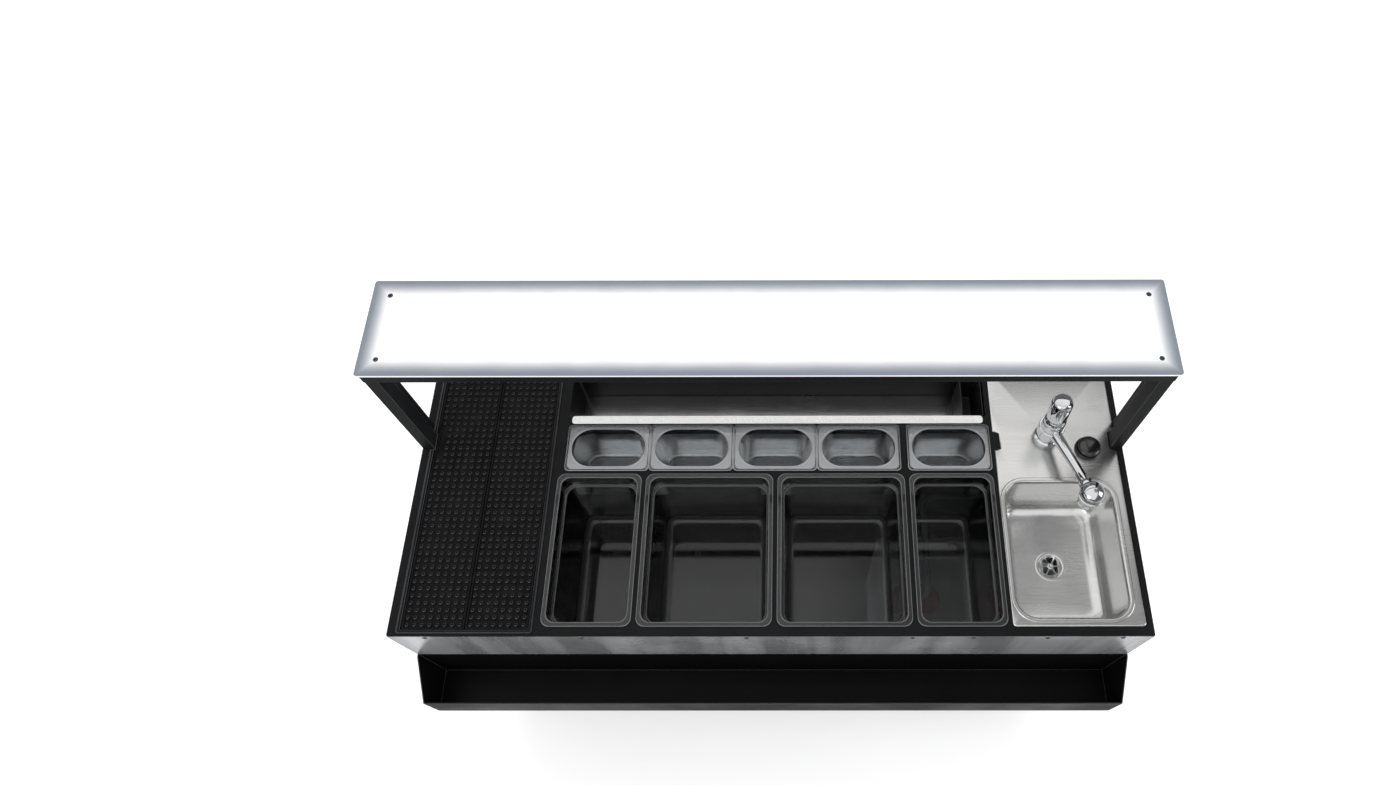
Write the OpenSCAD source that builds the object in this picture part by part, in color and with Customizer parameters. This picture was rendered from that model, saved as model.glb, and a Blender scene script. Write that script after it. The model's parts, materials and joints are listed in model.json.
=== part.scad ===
// Mobile bar unit: a wheeled cocktail station with a lit upper shelf.
// Inside each module x runs from the centre line, y back from the worktop's
// front edge and z up from the floor. place() moves that to the part's origin,
// which is on the floor below the middle of the whole unit.

/* [Worktop] */
// Height of the worktop above the floor
worktop_z = 870; // [850:1:930]
// Depth of the worktop from front to back
worktop_d = 620; // [618:1:660]
// Thickness of the worktop sheet
skin_t = 4; // [3.5:0.5:6]
// Height of the folded edge below the sheet
skirt_h = 26; // [24:1:32]
// Thickness of the folded edge
skirt_t = 4; // [3.5:0.5:6]
// Height of the folded walls around the cut-outs
fold_h = 20; // [12:1:22]
// Thickness of the folded walls around the cut-outs
fold_t = 2; // [1.5:0.5:3]
// Width of the border on the left
left_border = 17; // [16:0.5:24]
// Width of the border on the right
right_border = 12; // [11:0.5:16]
// Width of the border in front of the wells and the sink
front_border = 18; // [17:0.5:24]
// Width of the bar between the drip tray and the wells
bar_left = 14; // [12:1:20]
// Width of the bar between the wells and the drainboard
bar_right = 8; // [7:0.5:12]

/* [Pans] */
// Width of a bottle well's rim
bottle_well_w = 176; // [160:1:190]
// Width of an ice well's rim
ice_well_w = 265; // [240:1:280]
// Length of the rims of the wells, front to back
well_d = 325; // [312:1:330]
// Depth of the wells
well_deep = 200; // [150:5:210]
// Gap between two rims in the row of wells
well_gap = 9; // [6:0.5:14]
// Width of a garnish pan's rim
garnish_w = 176; // [165:1:180]
// Length of a garnish pan's rim, front to back
garnish_d = 108; // [100:1:112]
// Depth of the garnish pans
garnish_deep = 100; // [65:1:100]
// Gap between neighbouring garnish pans
garnish_gap = 0.8; // [0.5:0.1:3]
// Gap before the last garnish pan
garnish_break = 15; // [13:1:24]
// Gap between the row of wells and the garnish row
row_gap = 7; // [5:0.5:10]
// Thickness of a pan's rim
rim_t = 3; // [2:0.5:5]
// Width of the rim that rests on the worktop
rim_seat = 6; // [5:0.5:8]
// Thickness of a pan's wall
pan_wall = 2.5; // [2:0.25:3.5]
// Clearance between a pan and its cut-out
pan_clear = 1; // [0.6:0.1:2]

/* [Drip tray] */
// Width of the drip tray over its flange
tray_w = 264; // [240:1:280]
// Distance of the drip tray from the worktop's front edge
tray_front = 5; // [4:0.5:8]
// Distance of the drip tray from the worktop's back edge
tray_back = 20; // [18:0.5:26]
// Depth of the drip tray below the worktop
tray_deep = 14; // [12:0.5:18]
// Thickness of the tray's sheet
tray_t = 1.5; // [1:0.25:2]
// Thickness of a rubber mat with its border
mat_t = 12.5; // [10:0.5:14]
// Height of a mat's border above its base
mat_lip = 4; // [2:0.5:5]
// Clearance around a mat
mat_clear = 1.5; // [1.3:0.1:2]

/* [Trough] */
// Width of the bottle trough
trough_w = 897; // [860:1:898]
// Distance of the trough from the worktop's back edge
trough_back = 28; // [26:0.5:40]
// Depth of the bottle trough
trough_deep = 110; // [90:1:130]
// Thickness of the trough's walls
trough_t = 1.5; // [1:0.25:2]
// Width of the bright lip in front of the trough
lip_w = 17; // [14:1:17]
// Thickness of the bright lip
lip_t = 3; // [2:0.5:4]
// Width of the waste bin
bin_w = 46; // [40:1:90]
// Height of the waste bin
bin_h = 102; // [80:1:120]
// Thickness of the bin's walls
bin_t = 2; // [1.5:0.25:3]

/* [Sink] */
// Width of the drainboard
board_w = 260; // [256:1:280]
// Depth of the sink bowl
bowl_deep = 120; // [100:5:150]
// Width of the sink bowl
bowl_w = 219; // [200:1:225]
// Length of the sink bowl, front to back
bowl_d = 285; // [265:1:290]
// Radius of the bowl's corners
bowl_r = 40; // [30:1:50]
// Width of the raised bead around the bowl
bead_w = 12; // [6:1:13]
// Thickness of the drainboard's sheet
board_t = 2; // [1.5:0.25:2.5]
// Radius of the drain hole
drain_r = 27; // [24:0.5:30]
// Height of the tap's body
tap_h = 62; // [55:1:75]
// Radius of the tap's body
tap_r = 23; // [20:0.5:26]
// Reach of the tap's spout
spout_reach = 172; // [150:1:185]
// Radius of the spout's tube
spout_r = 10; // [8:0.5:12]
// Radius of the round head at the spout's end
spout_head_r = 26; // [22:0.5:28]
// Angle of the spout from straight ahead
spout_turn = 18; // [0:1:30]
// Height of the tap's lever above the ball's centre
grip_h = 72; // [55:1:80]
// Radius of the pump button
button_r = 23; // [18:0.5:26]
// Travel of the pump button
button_travel = 3.5; // [2:0.5:4]

/* [Upper shelf] */
// Height of the lit shelf above the worktop
shelf_rise = 310; // [260:1:360]
// Distance of the shelf from the worktop's back edge
shelf_back = 15; // [12:1:25]
// Depth of the shelf from front to back
shelf_d = 208; // [190:1:215]
// Thickness of the lit panel
panel_t = 6; // [5:0.5:10]
// Height of the shelf's frame
shelf_frame_h = 24; // [20:1:32]
// Width of the bars of the shelf's frame
shelf_bar = 20; // [14:1:24]
// Distance of the shelf's screws from its edges
screw_inset = 34; // [30:1:40]
// Radius of the heads of the shelf's countersunk screws
screw_head_r = 5; // [4:0.5:6]
// Thickness of a post
post_t = 12; // [8:0.5:12]
// Depth of a post from front to back
post_d = 61; // [50:1:66]
// Thickness of the batten on a post
batten_t = 13; // [12:0.5:14]
// Depth of the batten on a post
batten_d = 33; // [28:1:36]
// Distance of the posts behind the shelf's front edge
post_in = 7; // [6:1:12]

/* [Front] */
// Height of the bright apron
apron_h = 150; // [120:1:170]
// Thickness of the apron's sheet
apron_t = 2; // [1.5:0.25:2.5]
// Depth of the speed rail from front to back
rail_d = 90; // [75:1:110]
// Height of the speed rail below the apron
rail_h = 161; // [140:1:180]
// Height of the speed rail's front wall
rail_front_h = 90; // [60:1:110]

/* [Base] */
// Width of the square tubes of the base frame
tube = 30; // [25:1:32]
// Wall of the square tubes
tube_wall = 2; // [1.5:0.25:3]
// Width of the rails below the worktop
rail_tube = 18; // [15:1:18]
// Thickness of the bottom deck
deck_t = 18; // [15:1:22]
// Thickness of the side panels
side_t = 2; // [1.5:0.25:2]
// Thickness of the guest panel
guest_t = 3; // [2:0.5:4]

/* [Casters] */
// Radius of a wheel
wheel_r = 45; // [40:0.5:50]
// Width of a wheel
wheel_w = 30; // [26:1:34]
// Height of a caster with its plate
caster_h = 128; // [124:1:136]
// Distance of the wheel from the swivel's axis
trail = 32; // [25:1:36]
// Distance of the casters from the sides
caster_in_x = 96; // [94:1:120]
// Distance of the casters from the front and the back
caster_in_y = 96; // [94:1:120]

/* [Water and power] */
// Width of a water tank
tank_w = 216; // [200:1:220]
// Length of a water tank, front to back
tank_d = 330; // [300:1:340]
// Height of a water tank without its neck
tank_h = 350; // [300:5:380]
// Thickness of a tank's wall
tank_wall = 2.5; // [2:0.25:4]
// Radius of a tank's cap
cap_r = 34; // [32:0.5:38]
// Radius of the supply hose
hose_r = 7; // [6:0.5:9]
// Radius of the bends in the supply hose
hose_bend = 40; // [30:1:50]

/* [Hidden] */
$fn = 64;
eps = 0.02;

// Places across the worktop, from left to right
wells_w = 2 * bottle_well_w + 2 * ice_well_w + 3 * well_gap;
worktop_w = left_border + tray_w + bar_left + wells_w + bar_right + board_w + right_border;
half_w = worktop_w / 2;
tray_x = -half_w + left_border;
wells_x = tray_x + tray_w + bar_left;
wells_end = wells_x + wells_w;
board_x = wells_end + bar_right;
garnish_pitch = garnish_w + garnish_gap;
garnish_x = wells_end - 5 * garnish_w - 3 * garnish_gap - garnish_break;
trough_x = wells_end - 3 - trough_w;
well_widths = [bottle_well_w, ice_well_w, ice_well_w, bottle_well_w];
well_starts = [wells_x,
    wells_x + bottle_well_w + well_gap,
    wells_x + bottle_well_w + ice_well_w + 2 * well_gap,
    wells_x + bottle_well_w + 2 * ice_well_w + 3 * well_gap];
garnish_starts = [for (i = [0:4])
    garnish_x + i * garnish_pitch + (i == 4 ? garnish_break - garnish_gap : 0)];

// Width of the drip tray's flange that rests on the worktop
tray_seat = 5;

// Places from front to back
well_y = front_border;
garnish_y = well_y + well_d + row_gap;
lip_gap = 3;
lip_y = garnish_y + garnish_d + lip_gap;
trough_y = lip_y + lip_w;
board_y = front_border;
board_end_margin = 20;
board_d = worktop_d - board_end_margin - board_y;
tray_d = worktop_d - tray_front - tray_back;
trough_d = worktop_d - trough_back - trough_y;
shelf_front = worktop_d - shelf_back - shelf_d;
post_front = shelf_front + post_in;

// Heights
skin_z = worktop_z - skin_t;
skirt_z = skin_z - skirt_h;
board_z = worktop_z - board_t;
deck_z = caster_h;
deck_top = deck_z + deck_t;
shelf_top = worktop_z + shelf_rise;
panel_z = shelf_top - panel_t;
shelf_frame_z = panel_z - shelf_frame_h;

// Countersunk screws of the shelf
screw_r = 2.5;
screw_clear = 0.3;
screw_head_h = 2.5;
screw_deep = 14;

// The part's origin lies below the middle of the speed rail's front and the worktop's back
y_mid = (worktop_d - rail_d) / 2;

// Pads of the worktop that the posts stand on, and the matching tab beside the drainboard
pad_in = right_border + batten_t;
pad_margin = 4;
pad_y = post_front - pad_margin;
pad_d = batten_d + 2 * pad_margin;
pad_bevel = 10;
pad_bevel_d = 4;
pad_clear = 0.6;

// Tenons under the posts
tenon_t = 8;
tenon_gap = 1;
tenon_d = 21;
tenon_long = 16;
tenon_y = post_front + 6;
tenon_clear = 0.3;

// Bowl of the sink
bowl_in = 14;
bowl_behind = 19;
bowl_x = board_x + bowl_in;
bowl_y = board_y + bowl_behind;
bowl_draft = 7;
bowl_floor_r = 22;
bowl_floor = worktop_z - bowl_deep;
drain_x = bowl_x + bowl_w / 2;
drain_y = bowl_y + bowl_d / 2;
strainer_r = drain_r - 2;
strainer_deep = 3;

// Tap and pump button, measured from the board's right side and the bowl's back
tap_in = 145;
tap_behind = 111;
tap_x = board_x + board_w - tap_in;
tap_y = bowl_y + bowl_d + tap_behind;
shank_r = 10;
shank_long = 35;
button_in = 63;
button_behind = 78;
button_x = board_x + board_w - button_in;
button_y = bowl_y + bowl_d + button_behind;
button_shank_r = 9;
button_base_t = 3;
spout_z = 34;
spout_rise = 30;
collar_h = 24;
collar_gap = 0.05;
nozzle_r = 19;
nozzle_wall = 4;
nozzle_drop = 12;
grip_in = 1.5;

// Base frame, legs and rails
leg_front = apron_t;
leg_back = worktop_d - guest_t;
rivet_room = 1.4;
leg_side = half_w - side_t;
rails_z = skirt_z - tube;

// Speed rail
rail_t = 2;
rail_z = skin_z - apron_h - rail_h;
rail_top = skin_z - apron_h;

// Casters
plate_t = 4;
plate_w = 92;
plate_d = 76;
boss_r = 22;
boss_h = 6;
head_r = 28;
head_t = 6;
swivel_gap = 0.3;
king_r = 6;
king_clear = 0.05;
axle_r = 5;
axle_clear = 0.05;
fork_t = 3;
fork_gap = 2;
pedal_u = trail + 20;
pedal_z = wheel_r + 52;
pin_r = 3;
caster_x = half_w - caster_in_x;
caster_back = worktop_d - caster_in_y;

// Water tanks, waste tank below the sink and fresh tank to its left
tank_r = 14;
waste_x = drain_x - tank_w / 2;
tank_y = 12;
tank_gap = 20;
fresh_x = waste_x - tank_gap - tank_w;
neck_r = 28;
neck_h = 16;
cap_h = 24;
cap_gap = 0.3;
tank_top = deck_top + tank_h;
cap_top = tank_top + neck_h + 4;
fresh_cap_x = fresh_x + tank_w / 2;
cap_y = drain_y;
fitting_wall = 3;
fitting_z = bowl_floor - 42;
pipe_r = 20;
hose_z = cap_top + 70;
pump_r = 19;
pump_h = 120;

// Power box on the deck at the left
power_w = 190;
power_d = 130;
power_h = 90;
power_side_gap = 60;
power_back_gap = 50;
power_x = -half_w + power_side_gap;
power_y = worktop_d - power_back_gap - power_d;
switch_w = 14;
switch_h = 20;
switch_x = power_x + 34;
switch_z = deck_top + 52;

module place() {
    translate([0, -y_mid, 0]) children();
}

// A rectangle with round corners, with its lower left corner at x, y
module round_rect(x, y, w, d, r) {
    translate([x + r, y]) square([w - 2 * r, d]);
    translate([x, y + r]) square([w, d - 2 * r]);
    for (cx = [x + r, x + w - r]) {
        for (cy = [y + r, y + d - r]) {
            translate([cx, cy]) circle(r = r);
        }
    }
}

// The same rectangle as an upright slab
module slab(x, y, z, w, d, h, r) {
    translate([0, 0, z]) linear_extrude(h) round_rect(x, y, w, d, r);
}

// A tub's solid form: drawn in towards a rounded floor
module tub_form(x, y, w, d, top, bottom, r, draft, floor_r) {
    floor_in = draft + floor_r * 0.6;
    hull() {
        slab(x, y, top - eps, w, d, eps, r, $fn = 32);
        slab(x + draft, y + draft, bottom + floor_r, w - 2 * draft, d - 2 * draft, eps,
            r - draft / 2, $fn = 32);
        slab(x + floor_in, y + floor_in, bottom, w - 2 * floor_in, d - 2 * floor_in, eps,
            max(r - floor_in, 4), $fn = 32);
    }
}

// Outline of the pad under a post; side is -1 at the left and 1 at the right
module pad_2d(side, grow) {
    inner = half_w - pad_in - grow;
    bevel = min(pad_bevel, batten_t);
    mirror([side < 0 ? 1 : 0, 0]) polygon([
        [half_w, pad_y - grow],
        [inner + bevel, pad_y - grow],
        [inner, pad_y - grow + pad_bevel_d],
        [inner, pad_y + pad_d + grow - pad_bevel_d],
        [inner + bevel, pad_y + pad_d + grow],
        [half_w, pad_y + pad_d + grow]]);
}

// Outline of the tab on the drainboard's left side
module tab_2d(grow) {
    inner = board_x + batten_t + grow;
    bevel = min(pad_bevel, batten_t);
    polygon([
        [board_x - 1, pad_y - grow],
        [inner - bevel, pad_y - grow],
        [inner, pad_y - grow + pad_bevel_d],
        [inner, pad_y + pad_d + grow - pad_bevel_d],
        [inner - bevel, pad_y + pad_d + grow],
        [board_x - 1, pad_y + pad_d + grow]]);
}

// Cut-outs of the worktop; grow widens them for the folded walls
module tray_cut_2d(grow) {
    round_rect(tray_x + tray_seat - grow, tray_front + tray_seat - grow,
        tray_w - 2 * tray_seat + 2 * grow, tray_d - 2 * tray_seat + 2 * grow, 5 + grow);
}

module well_cuts_2d(grow) {
    for (i = [0:3]) {
        round_rect(well_starts[i] + rim_seat - grow, well_y + rim_seat - grow,
            well_widths[i] - 2 * rim_seat + 2 * grow, well_d - 2 * rim_seat + 2 * grow,
            24 + grow);
    }
}

module garnish_cuts_2d(grow) {
    first = garnish_starts[0] + rim_seat;
    last = garnish_starts[3] + garnish_w - rim_seat;
    round_rect(first - grow, garnish_y + rim_seat - grow, last - first + 2 * grow,
        garnish_d - 2 * rim_seat + 2 * grow, 16 + grow);
    round_rect(garnish_starts[4] + rim_seat - grow, garnish_y + rim_seat - grow,
        garnish_w - 2 * rim_seat + 2 * grow, garnish_d - 2 * rim_seat + 2 * grow, 16 + grow);
}

module bowl_cut_2d(grow) {
    margin = 4;
    round_rect(bowl_x - margin - grow, bowl_y - margin - grow,
        bowl_w + 2 * (margin + grow), bowl_d + 2 * (margin + grow), bowl_r + margin + grow);
}

module trough_cut_2d() {
    round_rect(trough_x, trough_y, trough_w, trough_d, 6);
}

// Square holes for the posts' tenons
module tenon_2d(side, grow) {
    outer = half_w - skirt_t - tenon_gap;
    x = side > 0 ? outer - tenon_t : -outer;
    translate([x - grow, tenon_y - grow]) square([tenon_t + 2 * grow, tenon_d + 2 * grow]);
}

module board_holes_2d() {
    translate([tap_x, tap_y]) circle(r = shank_r + 0.5);
    translate([button_x, button_y]) circle(r = button_shank_r + 0.5);
}

// Outline of the drainboard with its side notches
module board_2d(grow) {
    difference() {
        round_rect(board_x - grow, board_y - grow, board_w + 2 * grow, board_d + 2 * grow, 4 + grow);
        pad_2d(1, pad_clear - grow);
        tab_2d(pad_clear - grow);
    }
}

module worktop_frame() {
    color("#2b2d2f") place() {
        difference() {
            translate([0, 0, skin_z]) linear_extrude(skin_t) difference() {
                round_rect(-half_w, 0, worktop_w, worktop_d, 3);
                difference() {
                    tray_cut_2d(0);
                    pad_2d(-1, 0);
                }
                well_cuts_2d(0);
                garnish_cuts_2d(0);
                bowl_cut_2d(0);
                trough_cut_2d();
                board_holes_2d();
                tenon_2d(-1, tenon_clear);
                tenon_2d(1, tenon_clear);
            }
            translate([0, 0, board_z]) linear_extrude(board_t + 1) board_2d(0.4);
        }
        difference() {
            translate([0, 0, skirt_z]) linear_extrude(skirt_h) difference() {
                round_rect(-half_w, apron_t, worktop_w, worktop_d - apron_t, 3);
                round_rect(-half_w + skirt_t, apron_t + skirt_t, worktop_w - 2 * skirt_t,
                    worktop_d - apron_t - 2 * skirt_t, 2);
            }
            apron_screw_places() translate([0, 0, -apron_t - skirt_t - 1])
                cylinder(r = 2.2, h = skirt_t + apron_t + 2);
        }
        translate([0, 0, skin_z - fold_h]) linear_extrude(fold_h) {
            difference() {
                tray_cut_2d(fold_t);
                tray_cut_2d(0);
            }
            difference() {
                well_cuts_2d(fold_t);
                well_cuts_2d(0);
            }
            difference() {
                garnish_cuts_2d(fold_t);
                garnish_cuts_2d(0);
            }
            difference() {
                bowl_cut_2d(fold_t);
                bowl_cut_2d(0);
            }
        }
    }
}

// The drip tray hangs in its cut-out by a flange with a raised bead
module drip_tray() {
    seat = tray_seat + mat_clear / 2;
    bead = 1.8;
    bead_t = 2;
    color("#3a3c3e") place() difference() {
        union() {
            slab(tray_x, tray_front, worktop_z, tray_w, tray_d, tray_t, 5);
            slab(tray_x + seat, tray_front + seat, worktop_z - tray_deep, tray_w - 2 * seat,
                tray_d - 2 * seat, tray_deep + tray_t, 4.5);
            translate([0, 0, worktop_z + tray_t]) linear_extrude(bead) difference() {
                round_rect(tray_x, tray_front, tray_w, tray_d, 5);
                round_rect(tray_x + bead_t, tray_front + bead_t, tray_w - 2 * bead_t,
                    tray_d - 2 * bead_t, 3);
            }
        }
        difference() {
            slab(tray_x + seat + tray_t, tray_front + seat + tray_t,
                worktop_z - tray_deep + tray_t, tray_w - 2 * (seat + tray_t),
                tray_d - 2 * (seat + tray_t), tray_deep + 10, 3);
            translate([0, 0, worktop_z - tray_deep]) linear_extrude(tray_deep + tray_t)
                pad_2d(-1, pad_clear + tray_t);
        }
        translate([0, 0, worktop_z - tray_deep - 1]) linear_extrude(tray_deep + 10)
            pad_2d(-1, pad_clear);
    }
}

// A rubber mat; part is 0 for the left one and 1 for the right one
module mat(part) {
    seat = tray_seat + mat_clear / 2 + tray_t;
    inner_w = tray_w - 2 * seat;
    w = (inner_w - 3 * mat_clear) / 2;
    x = tray_x + seat + mat_clear + part * (w + mat_clear);
    y = tray_front + seat + mat_clear;
    d = tray_d - 2 * seat - 2 * mat_clear;
    z = worktop_z - tray_deep + tray_t;
    border = 4;
    notch = pad_clear + tray_t + mat_clear;
    color("#1c1c1d") place() translate([0, 0, z]) {
        linear_extrude(mat_t - mat_lip) difference() {
            round_rect(x, y, w, d, 3);
            pad_2d(-1, notch);
        }
        linear_extrude(mat_t) difference() {
            round_rect(x, y, w, d, 3);
            difference() {
                round_rect(x + border, y + border, w - 2 * border, d - 2 * border, 2);
                pad_2d(-1, notch + border);
            }
            pad_2d(-1, notch);
        }
    }
}

// A well: a flat rim, a shoulder and a tub drawn in towards its floor
module well(i) {
    x = well_starts[i];
    w = well_widths[i];
    seat = rim_seat + pan_clear;
    shoulder_h = 32;
    shoulder_in = 5;
    top = worktop_z + rim_t;
    x1 = x + seat;
    y1 = well_y + seat;
    w1 = w - 2 * seat;
    d1 = well_d - 2 * seat;
    color("#8d9499", 0.55) place() difference() {
        union() {
            slab(x, well_y, worktop_z, w, well_d, rim_t, 18);
            slab(x1, y1, worktop_z - shoulder_h, w1, d1, shoulder_h + 1, 22);
            tub_form(x1 + shoulder_in, y1 + shoulder_in, w1 - 2 * shoulder_in,
                d1 - 2 * shoulder_in, worktop_z - shoulder_h + 1, worktop_z - well_deep,
                24, 6, 14);
        }
        slab(x1 + pan_wall, y1 + pan_wall, worktop_z - shoulder_h + pan_wall,
            w1 - 2 * pan_wall, d1 - 2 * pan_wall, top, 22 - pan_wall);
        tub_form(x1 + shoulder_in + pan_wall, y1 + shoulder_in + pan_wall,
            w1 - 2 * (shoulder_in + pan_wall), d1 - 2 * (shoulder_in + pan_wall),
            worktop_z - shoulder_h + pan_wall + 1, worktop_z - well_deep + pan_wall,
            24 - pan_wall, 6, 14);
    }
}

// A garnish pan: a square rim around an oval tub
module garnish_pan(i) {
    x = garnish_starts[i];
    seat = rim_seat + pan_clear;
    lip_h = 2;
    x1 = x + seat;
    y1 = garnish_y + seat;
    w1 = garnish_w - 2 * seat;
    d1 = garnish_d - 2 * seat;
    oval_r = d1 / 2 - 4;
    color("#c3cbd0", 0.5) place() difference() {
        union() {
            slab(x, garnish_y, worktop_z, garnish_w, garnish_d, rim_t - 1, 9);
            difference() {
                slab(x, garnish_y, worktop_z, garnish_w, garnish_d, rim_t, 9);
                slab(x + lip_h, garnish_y + lip_h, worktop_z - 1, garnish_w - 2 * lip_h,
                    garnish_d - 2 * lip_h, rim_t + 2, 7);
            }
            tub_form(x1, y1, w1, d1, worktop_z + 1, worktop_z - garnish_deep, oval_r, 6, 12);
        }
        tub_form(x1 + pan_wall, y1 + pan_wall, w1 - 2 * pan_wall, d1 - 2 * pan_wall,
            worktop_z + rim_t + 1, worktop_z - garnish_deep + pan_wall,
            oval_r - pan_wall, 6, 12);
    }
}

// Steel tray below the garnish pans, fixed under the worktop sheet
module garnish_tray() {
    margin = 8;
    wall = 1.5;
    floor_gap = 6;
    x = garnish_x - rim_seat + margin - 2 * wall;
    w = wells_end - x + rim_seat - margin + 2 * wall;
    y = garnish_y - 2;
    d = garnish_d + 4;
    bottom = worktop_z - garnish_deep - floor_gap - wall;
    color("silver") place() difference() {
        slab(x, y, bottom, w, d, skin_z - bottom, 6);
        slab(x + wall, y + wall, bottom + wall, w - 2 * wall, d - 2 * wall, skin_z, 4.5);
    }
}

module trough_walls() {
    bottom = worktop_z - trough_deep;
    color("#232425") place() difference() {
        slab(trough_x - trough_t, trough_y - trough_t, bottom, trough_w + 2 * trough_t,
            trough_d + 2 * trough_t, skin_z - bottom, 7);
        slab(trough_x, trough_y, bottom + trough_t, trough_w, trough_d, trough_deep, 6);
    }
}

module trough_floor() {
    gap = 0.5;
    color("silver") place()
        slab(trough_x + gap, trough_y + gap, worktop_z - trough_deep + trough_t,
            trough_w - 2 * gap, trough_d - 2 * gap, trough_t, 5);
}

// Bright lip along the trough's front edge, with a short turned-down wall
module trough_lip() {
    inset = 7;
    end_r = 7;
    turn_h = 14;
    turn_t = 1.5;
    gap = 0.4;
    color("gainsboro") place() {
        slab(trough_x + inset, lip_y, worktop_z, trough_w - 2 * inset, lip_w + gap + turn_t,
            lip_t, end_r);
        translate([trough_x + inset + end_r, trough_y + gap, worktop_z - turn_h])
            cube([trough_w - 2 * (inset + end_r), turn_t, turn_h + lip_t]);
    }
}

module waste_bin() {
    gap = 2.5;
    front_gap = 4;
    x = trough_x + trough_w - gap - bin_w;
    y = trough_y + front_gap;
    d = trough_d - front_gap - gap;
    z = worktop_z - trough_deep + 2 * trough_t;
    color("#17181a") place() difference() {
        slab(x, y, z, bin_w, d, bin_h, 5);
        slab(x + bin_t, y + bin_t, z + bin_t, bin_w - 2 * bin_t, d - 2 * bin_t, bin_h, 3);
    }
}

// Drainboard and bowl pressed in one piece
module sink_unit() {
    bead_h = 2;
    color("silver") place() difference() {
        union() {
            translate([0, 0, board_z]) linear_extrude(board_t) board_2d(0);
            slab(bowl_x - bead_w, bowl_y - bead_w, worktop_z - eps, bowl_w + 2 * bead_w,
                bowl_d + 2 * bead_w, bead_h + eps, bowl_r + bead_w);
            tub_form(bowl_x - board_t, bowl_y - board_t, bowl_w + 2 * board_t,
                bowl_d + 2 * board_t, worktop_z, bowl_floor - board_t, bowl_r + board_t,
                bowl_draft, bowl_floor_r);
        }
        tub_form(bowl_x, bowl_y, bowl_w, bowl_d, worktop_z + bead_h + 1, bowl_floor, bowl_r,
            bowl_draft, bowl_floor_r);
        translate([drain_x, drain_y, bowl_floor - 3 * board_t])
            cylinder(r = drain_r, h = 5 * board_t);
        translate([0, 0, board_z - 1]) linear_extrude(board_t + 2) board_holes_2d();
    }
}

// Waste fitting: a flange on the bowl's floor and a threaded tail below it
module drain_fitting() {
    nut_h = 9;
    gap = 0.3;
    tail_wall = 6;
    color("gainsboro") place() translate([drain_x, drain_y, 0]) difference() {
        union() {
            translate([0, 0, bowl_floor]) cylinder(r = drain_r + 6, h = strainer_deep);
            translate([0, 0, fitting_z]) cylinder(r = drain_r - gap, h = bowl_floor - fitting_z + 1);
            translate([0, 0, bowl_floor - board_t - nut_h]) cylinder(r = drain_r + 6, h = nut_h);
        }
        translate([0, 0, fitting_z - 1])
            cylinder(r = drain_r - gap - tail_wall, h = bowl_floor - fitting_z + 2 * strainer_deep);
        translate([0, 0, bowl_floor]) cylinder(r = strainer_r + 0.3, h = strainer_deep + 1);
    }
}

// Lift-out strainer: a disc with slots around a small knob
module drain_strainer() {
    disc_t = 2;
    slot_w = 6;
    color("gainsboro") place() translate([drain_x, drain_y, bowl_floor]) {
        difference() {
            cylinder(r = strainer_r, h = disc_t);
            for (a = [0:60:300]) {
                rotate(a) translate([9, -slot_w / 2, -1]) cube([strainer_r - 13, slot_w, disc_t + 2]);
            }
        }
        cylinder(r = 4, h = 6);
        translate([0, 0, 6]) sphere(r = 4);
    }
}

// Straight waste pipe from the fitting down to the waste tank's cap
module drain_pipe() {
    nut_h = 22;
    overlap = 14;
    wall = 2;
    color("#d8d8d6") place() translate([drain_x, drain_y, 0]) difference() {
        union() {
            translate([0, 0, cap_top + cap_gap])
                cylinder(r = pipe_r, h = fitting_z - cap_top - cap_gap - 1);
            translate([0, 0, fitting_z + overlap - nut_h]) cylinder(r = drain_r + fitting_wall, h = nut_h);
        }
        translate([0, 0, fitting_z]) cylinder(r = drain_r, h = nut_h);
        translate([0, 0, cap_top - 1]) cylinder(r = pipe_r - wall, h = bowl_floor - cap_top);
    }
}

// Tap body with its shank, its base flange and a socket for the lever's ball
module tap_body() {
    flange_r = tap_r + 4;
    flange_t = 4;
    ball_z = tap_h + 6;
    nut_r = 16;
    color("gainsboro") place() translate([tap_x, tap_y, worktop_z]) {
        difference() {
            union() {
                cylinder(r = flange_r, h = flange_t);
                cylinder(r = tap_r, h = tap_h);
            }
            translate([0, 0, ball_z]) sphere(r = tap_r + 0.1);
        }
        translate([0, 0, -shank_long]) cylinder(r = shank_r, h = shank_long + 1);
        translate([0, 0, -skin_t - 8]) cylinder(r = nut_r, h = 8);
    }
}

// Swinging spout: a collar on the body, a rising tube and a round head with its outlet
module tap_spout() {
    reach = spout_reach;
    pitch = atan2(spout_rise, reach);
    tube_long = sqrt(reach * reach + spout_rise * spout_rise);
    nozzle_z = spout_rise - spout_head_r - nozzle_drop;
    color("gainsboro") place() translate([tap_x, tap_y, worktop_z + spout_z])
    rotate(spout_turn) difference() {
        union() {
            translate([0, 0, -collar_h / 2]) cylinder(r = tap_r + 4, h = collar_h);
            rotate([90 - pitch, 0, 0]) cylinder(r = spout_r, h = tube_long);
            translate([0, -reach, spout_rise]) sphere(r = spout_head_r);
            translate([0, -reach, nozzle_z]) cylinder(r = nozzle_r, h = spout_rise - nozzle_z);
        }
        translate([0, 0, -collar_h]) cylinder(r = tap_r + collar_gap, h = 2 * collar_h);
        translate([0, -reach, nozzle_z - 1]) cylinder(r = nozzle_r - nozzle_wall, h = nozzle_drop);
    }
}

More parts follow.
